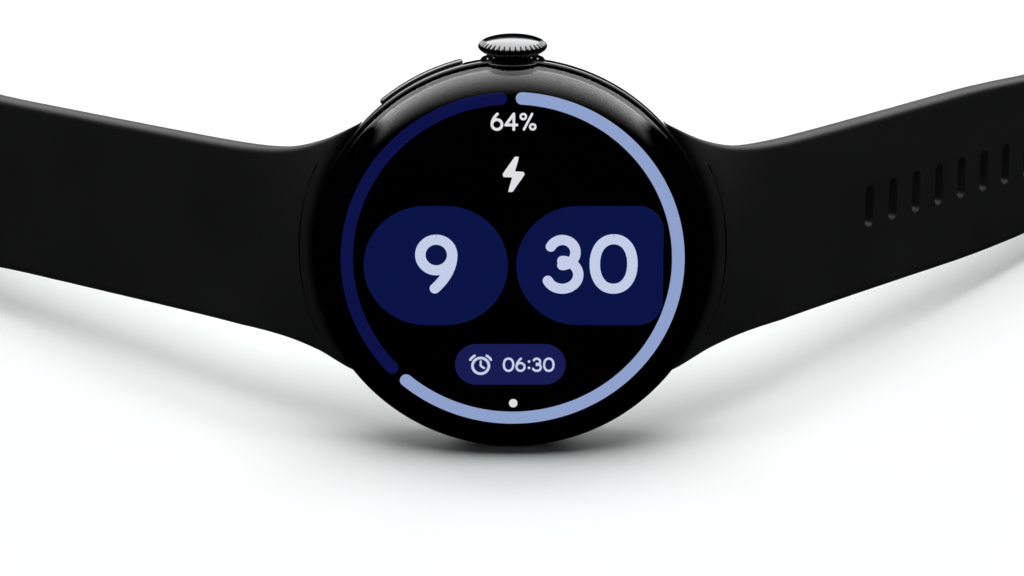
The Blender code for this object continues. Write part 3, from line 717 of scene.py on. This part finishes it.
def make_back():
    """The turned cover with its screws, the window's low dome and an electrode on each side of it."""
    cover_corners = [
        (9.45, 4.0),
        (COVER_R, 4.0),
        (COVER_R, 4.62),
        (15.8, 4.8),
        (12.0, 4.8),
        (12.0, 4.4),
        (10.1, 4.4),
        (10.1, 4.8),
        (9.45, 4.8),
    ]
    profile = rounded(cover_corners, 0.1, 4, True)
    cover = piece("back_plate", [turned(profile, 160, ring=True)], BACK_GLOSS, 30.0)
    turns = np.radians([60, 120, 240, 300])
    screws = SCREW_RING_R * np.stack([np.cos(turns), np.sin(turns)], -1)
    cut(cover, [prism(f"hole_{i}", circle_outline(1.0, 40, at), (3.0, 6.0)) for i, at in enumerate(screws)])
    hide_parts("back_cover")
    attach(cover, "case")
    for number, at in enumerate(screws):
        screw = piece(f"torx_screw_{number + 1}", [screw_shell(at)], STEEL, 25.0)
        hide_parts(f"back_screw_{number + 1}")
        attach(screw, "case")

    bump_curve = [(0.0, WINDOW_DEPTH), (5.2, WINDOW_DEPTH), (7.4, 5.8), (8.7, 5.3)]
    bump_curve += [(WINDOW_R, 4.7), (WINDOW_R, 4.1)]
    inner = [(8.5, 4.1), (8.3, 4.7), (7.0, 5.1), (5.0, 5.3), (0.0, 5.3)]
    window = piece("optical_window", [turned(rounded(bump_curve + inner, 1.0, 9), 160)], WINDOW_GLASS, 50.0)
    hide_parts("sensor_window")
    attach(window, "case")

    for name, start in (("left", 100.0), ("right", -80.0)):
        angle = np.radians(np.linspace(start, start + 160.0, 72))
        section = rounded([(10.3, 4.65), (11.8, 4.65), (11.8, 5.0), (10.3, 5.0)], 0.12, 4, True)
        radius, depth = section.T
        grid = np.stack(
            [
                np.cos(angle)[:, None] * radius,
                np.broadcast_to(depth, (len(angle), len(depth))),
                np.sin(angle)[:, None] * radius,
            ],
            -1,
        )
        electrode = piece(f"electrode_{name}", [shell(grid, "pole")], ELECTRODE, 50.0)
        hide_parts(f"skin_electrode_{name}")
        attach(electrode, "case")


def screw_shell(at):
    """A pan head on a shank, its socket a star of six lobes: radius 0.36 + 0.07 cos(6 angle)."""
    steps = 72
    angle = np.linspace(0.0, math.tau, steps, endpoint=False)[None, :]
    corners = [(0.02, 1.4), (0.45, 1.4), (0.45, 4.15), (0.85, 4.2), (0.85, 4.58), (0.8, 4.65), (0.46, 4.65)]
    profile = np.array(corners)
    outer = np.broadcast_to(profile[:, :1], (len(profile), steps))
    star = 0.36 + 0.07 * np.cos(6 * angle)
    radius = np.vstack([outer, star, star * 0.95, np.full((1, steps), 0.02)])
    depth = np.append(profile[:, 1], [4.63, 4.4, 4.4])[:, None]
    x, z = at[0] + radius * np.cos(angle), at[1] + radius * np.sin(angle)
    return shell(np.stack([x, np.broadcast_to(depth, radius.shape), z], -1), "pole")


# Crown


def make_crown():
    """A pebble cap: half an ellipsoid above its widest circle, a quarter wave down to its waist.

    Grooves run from partway up the cap down to the waist. Each takes a share of the radius that is
    the power 0.7 of a rounded wave round the crown.
    """
    angle = np.linspace(0.0, math.tau, FLUTES * 14, endpoint=False)[None, :]
    under = np.linspace(0.0, 1.0, 24)
    low_height = CROWN_BOTTOM + (CROWN_MIDDLE - CROWN_BOTTOM) * under
    low_radius = CROWN_WAIST_R + (CROWN_R - CROWN_WAIST_R) * np.sin(under * math.pi / 2) ** 0.8
    over = np.linspace(0.0, math.pi / 2, 44)[1:-1]
    high_height = CROWN_MIDDLE + (CROWN_TOP - CROWN_MIDDLE) * np.sin(over)
    high_radius = CROWN_R * np.cos(over)
    height = np.concatenate([[NECK_END, CROWN_BOTTOM], low_height, high_height])[:, None]
    radius = np.concatenate([[NECK_R, NECK_R], low_radius, high_radius])[:, None]
    fade = np.clip((FLUTE_TOP - height) / 0.3, 0.0, 1.0)
    strength = fade * fade * (3 - 2 * fade) * (np.arange(len(height))[:, None] > 1)
    groove = 1 - np.abs(np.cos(FLUTES / 2 * angle)) ** 0.7
    fluted = radius - FLUTE_DEPTH * strength * groove
    level = np.broadcast_to(height, fluted.shape)
    grid = np.stack([fluted * np.cos(angle), CROWN_DEPTH + fluted * np.sin(angle), level], -1)
    cap = piece("fluted_crown", [shell(grid, "pole")], CROWN_BLACK, 70.0)
    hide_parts("crown_cap")
    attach(cap, "crown")

    flare = [(2.35, 22.0), (3.6, 22.0), (3.55, 22.12), (3.1, 22.26), (2.85, 22.45), (2.75, 22.5)]
    flare.append((2.35, 22.5))
    collar_shape = turned(rounded(flare, 0.15, 5, True), 96, True, "up", (0.0, CROWN_DEPTH))
    collar = piece("crown_collar", [collar_shape], BLACK_GLOSS, 60.0)
    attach(collar, "case")


# Side button


def make_button():
    """A slim bar along the rim: a rounded section carried along an arc, drawn in at both ends."""
    count = 80
    travel = np.linspace(-1.0, 1.0, count)
    end = np.sqrt(np.clip(1.0 - np.clip((np.abs(travel) - 0.94) / 0.06, 0.0, 1.0) ** 2, 0.05, 1.0))
    middle = (BUTTON_FROM + BUTTON_TO) / 2
    half = (BUTTON_TO - BUTTON_FROM) / 2
    angle = math.pi / 2 + middle + travel * half
    turn = np.linspace(0.0, math.tau, 48, endpoint=False)
    wide = np.sign(np.cos(turn)) * np.abs(np.cos(turn)) ** 0.5
    tall = np.sign(np.sin(turn)) * np.abs(np.sin(turn)) ** 0.5
    radius = 22.07 + 0.78 * tall[None, :] * (0.75 + 0.25 * end[:, None])
    depth = BUTTON_DEPTH + 0.7 * wide[None, :] * end[:, None]
    grid = np.stack([radius * np.cos(angle)[:, None], depth, radius * np.sin(angle)[:, None]], -1)
    button = piece("slim_button", [shell(grid, "pole")], BLACK_GLOSS, 70.0)
    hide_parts("side_button")
    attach(button, "side_button")


# Strap


def route(strap, along):
    """(x, depth, slope) of the outer face on the right: an arc at the case, a straight run, a long bend."""
    slope, straight, bend_r = strap["slope"], strap["straight"], strap["bend_r"]
    along = np.asarray(along, float)
    shoulder = (slope - SHOULDER_ANGLE) * SHOULDER_R
    angle = SHOULDER_ANGLE + np.minimum(along, shoulder) / SHOULDER_R
    x = STRAP_START_R + SHOULDER_R * (np.sin(angle) - math.sin(SHOULDER_ANGLE))
    depth = STRAP_START_DEPTH + SHOULDER_R * (math.cos(SHOULDER_ANGLE) - np.cos(angle))
    run = np.clip(along - shoulder, 0.0, straight - shoulder)
    x, depth = x + run * math.cos(slope), depth + run * math.sin(slope)
    last = slope + np.maximum(along - straight, 0.0) / bend_r
    x = x + bend_r * (np.sin(last) - math.sin(slope))
    depth = depth + bend_r * (math.cos(slope) - np.cos(last))
    return x, depth, np.where(last > slope, last, angle)


CORNER_X = math.sqrt(STRAP_START_R**2 - ROOT_HALF**2)


def root_share(strap, along):
    """1 at the case, falling to 0 at the first flex line."""
    return np.clip(1.0 - along / strap["hinges"][0], 0.0, 1.0)


def half_width(strap, along):
    """Half the width: an exponential flare at the case, a slow change, then a superelliptic tip."""
    x = route(strap, along)[0]
    edge_x = x + (CORNER_X - STRAP_START_R) * root_share(strap, along)
    flare = (ROOT_HALF - WAIST_HALF) * np.exp(-np.maximum(edge_x - CORNER_X, 0.0) / FLARE_LENGTH)
    change = np.clip((along - TAPER_START) / (strap["length"] - TAPER_START - TAPER_REST), 0.0, 1.0)
    width = WAIST_HALF + flare + (strap["end_half"] - WAIST_HALF) * change**2 * (3 - 2 * change)
    past = np.clip((along - strap["length"] + TIP_LENGTH) / TIP_LENGTH, 0.0, 0.999)
    return width * (1.0 - past**2.6) ** (1 / 2.6)


def outer_face(strap, along, z):
    """Points of the outer face. At the case x starts on its circle, and depth follows the distance."""
    x, depth, _ = route(strap, along)
    share = root_share(strap, along)
    start_z = z * ROOT_HALF / half_width(strap, 0.0)
    start_x = np.sqrt(np.maximum(STRAP_START_R**2 - start_z**2, 1.0))
    x = x + (start_x - STRAP_START_R) * share
    first_x = route(strap, strap["hinges"][0])[0]
    blend = np.clip((x - 22.0) / (first_x - 22.0), 0.0, 1.0)
    reach = np.hypot(x, z) * (1 - blend) + x * blend
    samples = np.linspace(0.0, strap["hinges"][0] + 8.0, 200)
    xs, depths, _ = route(strap, samples)
    depth = np.where(share > 0, np.interp(reach, xs, depths), depth)
    return np.stack([x, depth, z], -1)


def strap_grid(strap, start, end, rows, tips):
    """Loops round the strap: flat faces with rounded edges, offset inwards from the outer face.

    tips says which ends are rounded off, where the loops close in towards the middle of the thickness.
    """
    t = np.linspace(0.0, 1.0, rows)
    along = start + (end - start) * t
    if tips[0]:
        edge = start + STRAP_ROUND * (1 - np.cos(np.linspace(0.05, math.pi / 2, 9)[:-1]))
        along = np.sort(np.concatenate([edge, along[1:]]))
    if tips[1]:
        near = end - TIP_LENGTH * (1 - np.sin(np.linspace(0.0, 0.985 * math.pi / 2, 40)))
        along = np.concatenate([along[along < end - TIP_LENGTH], near])
    inset = np.ones_like(along)
    if tips[0]:
        inset = np.minimum(inset, np.sqrt(1 - (1 - np.clip((along - start) / STRAP_ROUND, 0.0, 1.0)) ** 2))
    if tips[1]:
        inset = np.minimum(inset, np.sqrt(1 - (1 - np.clip((end - along) / STRAP_ROUND, 0.0, 1.0)) ** 2))
    inset = np.maximum(inset, 0.12)[:, None]
    arc = np.linspace(-math.pi / 2, 0.0, 7)
    flat = np.linspace(-1.0, 1.0, 33)[1:-1]
    half = half_width(strap, along)[:, None]
    core = np.maximum(half - STRAP_ROUND, 0.3)
    middle = core * np.hstack([[-1.0], flat, [1.0]])
    z_top = np.hstack([-core + STRAP_ROUND * np.sin(arc[:-1])[None], middle])
    z_top = np.hstack([z_top, core - STRAP_ROUND * np.sin(arc[::-1][1:])[None]])
    lower = STRAP_ROUND * (1 - np.cos(arc))[None]
    down = np.hstack([lower[:, :-1], np.zeros((1, 33)), lower[:, ::-1][:, 1:]])
    half_thick = STRAP_THICK / 2
    middle_down = half_thick + (np.minimum(down, half_thick) - half_thick) * inset
    z = np.hstack([z_top, z_top[:, ::-1]])
    offset = np.hstack([middle_down, STRAP_THICK - middle_down[:, ::-1]])
    spread = np.broadcast_to(along[:, None], z.shape)
    face = outer_face(strap, spread, z)
    step = 0.05
    ahead = outer_face(strap, spread + step, z) - outer_face(strap, spread - step, z)
    aside = outer_face(strap, spread, z + step) - outer_face(strap, spread, z - step)
    normal = np.cross(aside, ahead)
    normal *= np.sign(normal[..., 1:2])
    normal /= np.linalg.norm(normal, axis=-1, keepdims=True)
    slope = route(strap, spread)[2]
    flat_normal = np.stack([-np.sin(slope), np.cos(slope), 0 * spread], -1)
    steep = np.clip((slope - 1.2) * 5.0, 0.0, 1.0)[..., None]
    normal = normal * (1 - steep) + flat_normal * steep
    points = face + normal * offset[..., None]
    points[..., 0] *= strap["side"]
    return points


def on_strap(strap, along):
    """A function from (along, across, down) about a place on the strap to the watch's axes."""
    x, depth, slope = (float(v) for v in route(strap, along))
    side = strap["side"]
    forward = np.array([side * math.cos(slope), math.sin(slope), 0.0])
    inside = np.array([-side * math.sin(slope), math.cos(slope), 0.0])
    origin = np.array([side * x, depth, 0.0])
    across = np.array([0.0, 0.0, 1.0])
    outer = np.multiply.outer
    return lambda a, b, c: origin + outer(a, forward) + outer(b, across) + outer(c, inside)


def slot_outline(length, width, count=14):
    """A slot with round ends, its length across the strap."""
    angle = np.linspace(0.0, math.pi, count)
    reach = length / 2 - width / 2
    top = np.stack([width / 2 * np.cos(angle), reach + width / 2 * np.sin(angle)], -1)
    return np.vstack([top, -top])


def make_strap(strap):
    """Two stretches that meet between the flex lines (halfway on the fastener strap), each reaching over
    one of them.
    """
    name = strap["name"]
    first, second = strap["hinges"]
    seam = SLOT_FIRST - SLOT_PITCH / 2 if strap is TAIL else (first + second) / 2
    near_grid = strap_grid(strap, 0.0, seam, 60, (True, False))
    far_grid = strap_grid(strap, seam, strap["length"], 110, (False, True))
    near = piece(f"{name}_strap_near", [shell(near_grid)], STRAP_RUBBER, 50.0)
    far = piece(f"{name}_strap_far", [shell(far_grid)], STRAP_RUBBER, 50.0)
    holes = []
    if strap is TAIL:
        for number in range(SLOT_COUNT):
            place = on_strap(strap, SLOT_FIRST + number * SLOT_PITCH)
            outline = slot_outline(SLOT_LENGTH, SLOT_WIDTH)
            holes.append(prism(f"slot_{number}", outline, (-2.0, 5.0), place=place))
    else:
        place = on_strap(strap, strap["length"] - TUCK_FROM_END)
        outline = slot_outline(TUCK_LENGTH, TUCK_WIDTH, 28)
        holes.append(prism("tuck", outline, (-2.0, 5.0), place=place))
        place = on_strap(strap, strap["length"] - STUD_FROM_END)
        holes.append(prism("stud_hole", slot_outline(4.0, 1.7), (-2.0, 5.0), place=place))
    cut(far, holes)
    connector_room = prism(f"{name}_room", sector_outline(18.0, 24.2, strap["side"]), CHANNEL)
    cut(near, [connector_room])
    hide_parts(f"{name}_strap_root")
    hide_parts(f"{name}_strap_middle", f"{name}_strap_end")
    stretches = (near, "case", f"{name}_middle", first), (far, f"{name}_middle", f"{name}_end", second)
    for stretch, parent, child, hinge in stretches:
        place = on_strap(strap, hinge)
        reach = min(7.0, hinge - 4.0)
        ends = [in_row(place(a, 0.0, STRAP_THICK / 2)) for a in (-reach, reach)]
        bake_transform(stretch)


def make_stud():
    """A low oval disc outside the strap, on a waist that ends in a button inside it."""
    place = on_strap(FASTENER, FASTENER["length"] - STUD_FROM_END)
    corners = [(0.02, -0.75), (1.1, -0.75), (1.5, -0.5), (1.5, -0.3), (0.62, -0.3), (0.62, 3.1)]
    corners += [(0.8, 3.3), (0.8, 4.2), (0.5, 4.6), (0.02, 4.6)]
    profile = rounded(corners, 0.2, 6)
    angle = np.linspace(0.0, math.tau, 96, endpoint=False)[None, :]
    radius = profile[:, :1]
    height = np.broadcast_to(profile[:, 1:], (len(profile), 96))
    grid = place(radius * np.cos(angle), radius * 2.2 * np.sin(angle), height)
    stud = piece("oval_stud", [shell(grid, "pole")], DARK_STEEL, 50.0)
    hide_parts("strap_stud")
    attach(stud, "fastener_end")


# Picture on the screen


def flat_shape(left, right, columns=9, lift=FIELD_LIFT):
    """A thin closed plate in front of the screen, between two edges given as rows of (x, z)."""
    share = np.linspace(0.0, 1.0, columns)[None, :, None]
    flat = left[:, None] * (1 - share) + right[:, None] * share
    front = np.full(flat.shape[:2], -SCREEN_RISE - lift)
    top = np.stack([flat[..., 0], front, flat[..., 1]], -1)
    under = np.stack([flat[..., 0], front + PLATE_THICK, flat[..., 1]], -1)
    return shell(np.concatenate([top, under[:, ::-1]], 1))


def stroke(path, width, columns=7, lift=FIELD_LIFT, round_ends=True):
    """A pen stroke along a path: edges half its width away, closing in on a circle at each end."""
    path = np.asarray(path, float)
    half = np.full(len(path), width / 2)
    if round_ends:
        back = np.cos(np.linspace(0.06, math.pi / 2, 9)[:-1])
        for end in (0, -1):
            step = path[0] - path[1] if end == 0 else path[-1] - path[-2]
            step = step / np.hypot(*step)
            tip = path[end] + step * (width / 2 * back)[:, None]
            size = width / 2 * np.sqrt(1 - back**2)
            if end == 0:
                path, half = np.vstack([tip, path]), np.concatenate([size, half])
            else:
                path, half = np.vstack([path, tip[::-1]]), np.concatenate([half, size[::-1]])
    ahead = np.gradient(path, axis=0)
    ahead /= np.maximum(np.hypot(*ahead.T)[:, None], 1e-9)
    side = np.stack([-ahead[:, 1], ahead[:, 0]], -1) * half[:, None]
    return flat_shape(path + side, path - side, columns, lift)


def ring_path(x, z, radius_x, radius_z, start, end, count=48, power=1.0):
    """Part of an ellipse, angles in degrees clockwise from the top."""
    angle = np.radians(np.linspace(start, end, count))
    sine, cosine = np.sin(angle), np.cos(angle)
    across = x + radius_x * np.sign(sine) * np.abs(sine) ** power
    return np.stack([across, z + radius_z * np.sign(cosine) * np.abs(cosine) ** power], -1)


def bend(start, through, end, count=24):
    """A quadratic curve from one point to another, drawn towards a third."""
    t = np.linspace(0.0, 1.0, count)[:, None]
    start, through, end = (np.array(p, float) for p in (start, through, end))
    return (1 - t) ** 2 * start + 2 * t * (1 - t) * through + t**2 * end


def line(start, end, count=12):
    """A straight path of evenly spaced points."""
    return bend(start, (np.array(start) + np.array(end)) / 2, end, count)


MARK_WIDTHS = {"0": 0.775, "3": 0.645, "6": 0.69, "9": 0.69, "4": 0.76, "%": 0.95, ":": 0.3}


def numeral(mark, x, z, height, weight):
    """The strokes of one numeral or sign, from its left edge x and its foot z."""
    h, r, lift = height, weight / 2, MARK_LIFT
    width = MARK_WIDTHS[mark] * h
    cx, cz = x + width / 2, z + h / 2
    rx, rz = width / 2 - r, h / 2 - r
    if mark == "0":
        return [stroke(ring_path(cx, cz, rx, rz, 0, 360, 72, 0.92), weight, lift=lift, round_ends=False)]
    if mark == "3":
        upper, lower = rx * 0.9, rx
        top_z, low_z = z + h - r - upper, z + r + lower
        upper_bowl = ring_path(cx - 0.1 * rx, top_z, upper, upper, -62, 180, 40)
        lower_bowl = ring_path(cx - 0.1 * rx, low_z, lower * 1.1, lower, 0, 245, 44)
        return [stroke(upper_bowl, weight, lift=lift), stroke(lower_bowl, weight, lift=lift)]
    if mark in "69":
        sign = 1.0 if mark == "9" else -1.0
        bowl_z = cz + sign * (rz - rx)
        bowl_ring = stroke(ring_path(cx, bowl_z, rx, rx, 0, 360, 64), weight, lift=lift, round_ends=False)
        side, foot = cx + sign * rx, (cx - sign * 0.1 * rx, cz - sign * rz)
        tail = bend((side, bowl_z), (side, cz - sign * 0.35 * rz), foot)
        return [bowl_ring, stroke(tail, weight, lift=lift)]
    if mark == "4":
        foot = cz - 0.42 * rz
        upright_x = cx + 0.45 * rx
        strokes = [line((upright_x, cz + rz), (cx - rx, foot)), line((cx - rx, foot), (cx + rx, foot))]
        strokes.append(line((upright_x, cz + rz), (upright_x, cz - rz)))
        return [stroke(s, weight, lift=lift) for s in strokes]
    if mark == "%":
        dot = 0.36 * rx
        rings = [(cx - rx + dot, cz + rz - dot), (cx + rx - dot, cz - rz + dot)]
        made = [stroke(ring_path(*at, dot, dot, 0, 360, 32), weight * 0.8, 5, lift, False) for at in rings]
        bar = line((cx - 0.55 * rx, cz - rz), (cx + 0.55 * rx, cz + rz))
        return made + [stroke(bar, weight * 0.85, lift=lift)]
    dots = (cz - 0.22 * h, cz + 0.22 * h)
    r = weight * 0.6
    return [blob(cx - r, cx + r, at, r, r, r, lift) for at in dots]


def blob(left, right, z, half, left_round, right_round, lift=FIELD_LIFT):
    """A filled shape about a level line, its corners rounded with one radius at each end."""
    turn = np.linspace(0.03, math.pi / 2, 20)
    left_x = left + left_round * (1 - np.cos(turn))
    right_x = right - right_round * (1 - np.cos(turn))
    x = np.concatenate([left_x, np.linspace(left_x[-1], right_x[-1], 24)[1:-1], right_x[::-1]])
    left_half = half - left_round + left_round * np.sin(turn)
    right_half = half - right_round + right_round * np.sin(turn)
    height = np.concatenate([left_half, np.full(22, half), right_half[::-1]])
    return flat_shape(np.stack([x, z + height], -1), np.stack([x, z - height], -1), 21, lift)


def picture(name, shapes, material):
    """A part of the picture, which rides with the case."""
    made = piece(name, shapes, material, 180.0)
    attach(made, "case")


def write(text, x, z, height, weight, gap):
    """A row of numerals from left to right."""
    shapes = []
    for mark in text:
        shapes += numeral(mark, x, z, height, weight)
        x += MARK_WIDTHS[mark] * height + gap
    return shapes


def make_picture():
    """The charging picture: a ring that is 64 hundredths lit, the time, an alarm and a bolt."""
    ring_r, ring_width = 18.4, 1.36
    lit_part = stroke(ring_path(0, 0.08, ring_r, ring_r, 3.2, 220.5, 200), ring_width)
    rest = stroke(ring_path(0, 0.08, ring_r, ring_r, 227.0, 356.0, 120), ring_width)
    picture("ring_charged", [lit_part], PERIWINKLE)
    picture("ring_rest", [rest], NAVY)
    picture("hour_pill", [blob(-16.59, -0.52, -0.6, 6.9, 6.9, 6.9)], PILL_NAVY)
    picture("minute_pill", [blob(0.41, 16.78, -0.6, 6.9, 6.9, 2.85)], PILL_NAVY)
    hour = numeral("9", -10.87, -3.81, 6.82, 1.16)
    minutes = numeral("3", 3.52, -3.84, 6.82, 1.16) + numeral("0", 8.6, -3.83, 6.88, 1.16)
    picture("time", hour + minutes, LAVENDER)
    picture("charge_level", write("64%", -2.43, 14.85, 2.04, 0.31, 0.1), WHITE)
    picture("alarm_pill", [blob(-6.47, 5.97, -12.1, 2.38, 2.38, 2.38)], ALARM_NAVY)
    picture("alarm_time", write("06:30", -1.11, -12.98, 1.68, 0.25, 0.12), LAVENDER)
    picture("alarm_clock", clock_face(-3.59, -12.27), LAVENDER)
    level = np.array([1.0, 0.75, 0.5, 0.17, 0.15, 0.0, -0.15, -0.17, -0.5, -0.75, -1.0])
    left = np.array([0.08, -0.14, -0.37, -0.66, -0.68, -0.8, -0.72, -0.1, -0.22, -0.32, -0.38])
    right = np.array([0.38, 0.32, 0.22, 0.1, 0.72, 0.8, 0.68, 0.66, 0.37, 0.14, -0.08])
    size = (1.53, 2.0)
    edges = [np.stack([0.11 + size[0] * edge, 9.92 + size[1] * level], -1) for edge in (left, right)]
    picture("bolt", [flat_shape(*edges, 9, MARK_LIFT)], WHITE)
    picture("page_dot", [blob(-0.41, 0.55, -16.64, 0.48, 0.48, 0.48, MARK_LIFT)], WHITE)


def clock_face(x, z):
    """An alarm clock: a ring with two hands, and an arc over each shoulder."""
    hands = np.vstack([line((x, z + 0.52), (x, z)), line((x, z), (x + 0.38, z - 0.26))[1:]])
    shapes = [stroke(ring_path(x, z, 0.92, 0.92, 0, 360, 48), 0.3, 5, MARK_LIFT, False)]
    shapes.append(stroke(hands, 0.24, 5, MARK_LIFT))
    arcs = [ring_path(x, z, 1.36, 1.36, side * 30, side * 58, 12) for side in (-1, 1)]
    return shapes + [stroke(arc, 0.28, 5, MARK_LIFT) for arc in arcs]


def finish_kept_nodes():
    """Gives every node that is carried over the finish of its slot."""
    slots = {part["node"]: part["material_slot"] for part in frame["record"]["subparts"]}
    for name, obj in nodes.items():
        finish = KEPT_FINISHES.get(slots[name])
        if finish:
            obj.data.materials.clear()
            obj.data.materials.append(finish)


# Room, light and camera


def make_room():
    """A pale floor and a plain pale background; smooth finishes see a dark floor and the canopy light."""
    corners = FLOOR_HALF * np.array([(-1, -1, 0), (1, -1, 0), (1, 1, 0), (-1, 1, 0)])
    mesh = bpy.data.meshes.new("floor")
    mesh.from_pydata(corners.tolist(), [], [(0, 1, 2, 3)])
    floor = linked("floor", mesh)
    material, tree, shader = start_material(
        "pale_floor", Base_Color=(0.8, 0.83, 0.825, 1.0), Roughness=0.6, Specular_IOR_Level=0.2
    )
    black = node(tree, "ShaderNodeEmission", Color=(0.0, 0.0, 0.0, 1.0))
    floor_look = by_ray(tree, "Is Glossy Ray", shader, black)
    tree.links.new(floor_look.outputs[0], tree.nodes["Material Output"].inputs["Surface"])
    mesh.materials.append(material)

    world = bpy.data.worlds.new("studio")
    world.use_nodes = True
    tree = world.node_tree
    seen = tree.nodes["Background"]
    feed(tree, seen, Color=(0.97, 0.985, 0.98, 1.0))
    soft = node(tree, "ShaderNodeBackground", Color=(1.0, 1.0, 1.0, 1.0), Strength=0.05)
    canopy = node(tree, "ShaderNodeBackground", Strength=canopy_light(tree))
    unseen = by_ray(tree, "Is Glossy Ray", soft, canopy)
    look = by_ray(tree, "Is Camera Ray", unseen, seen)
    tree.links.new(look.outputs[0], tree.nodes["World Output"].inputs["Surface"])
    bpy.context.scene.world = world


def by_ray(tree, kind, otherwise, shader):
    """A shader for rays of one kind, and another for all the rest."""
    path = tree.nodes.new("ShaderNodeLightPath")
    made = tree.nodes.new("ShaderNodeMixShader")
    by_place(tree, made, {0: path.outputs[kind], 1: otherwise.outputs[0], 2: shader.outputs[0]})
    return made


def canopy_light(tree):
    """Brightness of a broad light overhead, by direction.

    It grows from dark at 50 degrees above the front horizon to full at 115 degrees, and ends
    at 167 degrees, low behind. It also ends to the left and right, where the sideways share passes 0.8.
    """
    way = tree.nodes.new("ShaderNodeTexCoord").outputs["Generated"]
    apart = node(tree, "ShaderNodeSeparateXYZ", Vector=way)
    front = calculate(tree, "MULTIPLY", apart.outputs["Y"], -1.0)
    turn = calculate(tree, "ARCTAN2", apart.outputs["Z"], front)
    sideways = calculate(tree, "ABSOLUTE", apart.outputs["X"])
    rise = soft_step(tree, turn, math.radians(50.0), math.radians(115.0))
    end = soft_step(tree, turn, math.radians(170.0), math.radians(164.0))
    edge = soft_step(tree, sideways, 0.84, 0.76)
    shape = calculate(tree, "MULTIPLY", calculate(tree, "MULTIPLY", rise, end), edge)
    return calculate(tree, "MULTIPLY", shape, CANOPY_STRENGTH)


def soft_step(tree, value, start, end):
    """0 at start, smoothly to 1 at end."""
    low, high = min(start, end), max(start, end)
    made = node(tree, "ShaderNodeMapRange", Value=value, From_Min=low, From_Max=high)
    feed(tree, made, To_Min=float(start > end), To_Max=float(start < end))
    made.interpolation_type = "SMOOTHSTEP"
    return made.outputs["Result"]


def area_light(name, place, aim, size, power):
    """A soft light at a place, turned to another."""
    light = bpy.data.lights.new(name, "AREA")
    light.shape, light.size, light.size_y, light.energy = "RECTANGLE", size[0], size[1], power
    obj = linked(name, light)
    obj.visible_glossy = obj.visible_transmission = False
    obj.location = place
    obj.rotation_euler = (Vector(aim) - Vector(place)).to_track_quat("-Z", "Y").to_euler()


def make_lights():
    """A broad light overhead and a small one behind each side, all aimed at the watch."""
    centre = Vector(CENTRE)
    area_light("overhead", centre + Vector((0.0, 0.02, 0.5)), centre, (0.5, 0.4), 3.6)
    for name, side in (("back_left", -1), ("back_right", 1)):
        area_light(name, centre + Vector((side * 0.5, 0.45, 0.35)), centre, (0.35, 0.35), 1.2)


def make_camera():
    """A long lens that looks down on the watch, square to its width."""
    elevation = math.radians(CAMERA_ELEVATION)
    back = Vector((0.0, -math.cos(elevation), math.sin(elevation)))
    up = Vector((0.0, math.sin(elevation), math.cos(elevation)))
    data = bpy.data.cameras.new("camera")
    data.sensor_width, data.lens = 36.0, CAMERA_LENS
    camera = linked("camera", data)
    aside = Vector((CAMERA_ASIDE, 0.0, 0.0))
    camera.location = Vector(CENTRE) + back * CAMERA_DISTANCE - up * CAMERA_DROP + aside
    camera.rotation_euler = (math.pi / 2 - elevation, 0.0, 0.0)
    bpy.context.scene.camera = camera
    bpy.context.scene.view_settings.view_transform = "Standard"


make_camera()
make_glass()
make_screen()
make_housing()
make_back()
make_crown()
make_button()
make_strap(FASTENER)
make_strap(TAIL)
make_stud()
finish_kept_nodes()
make_room()
make_lights()
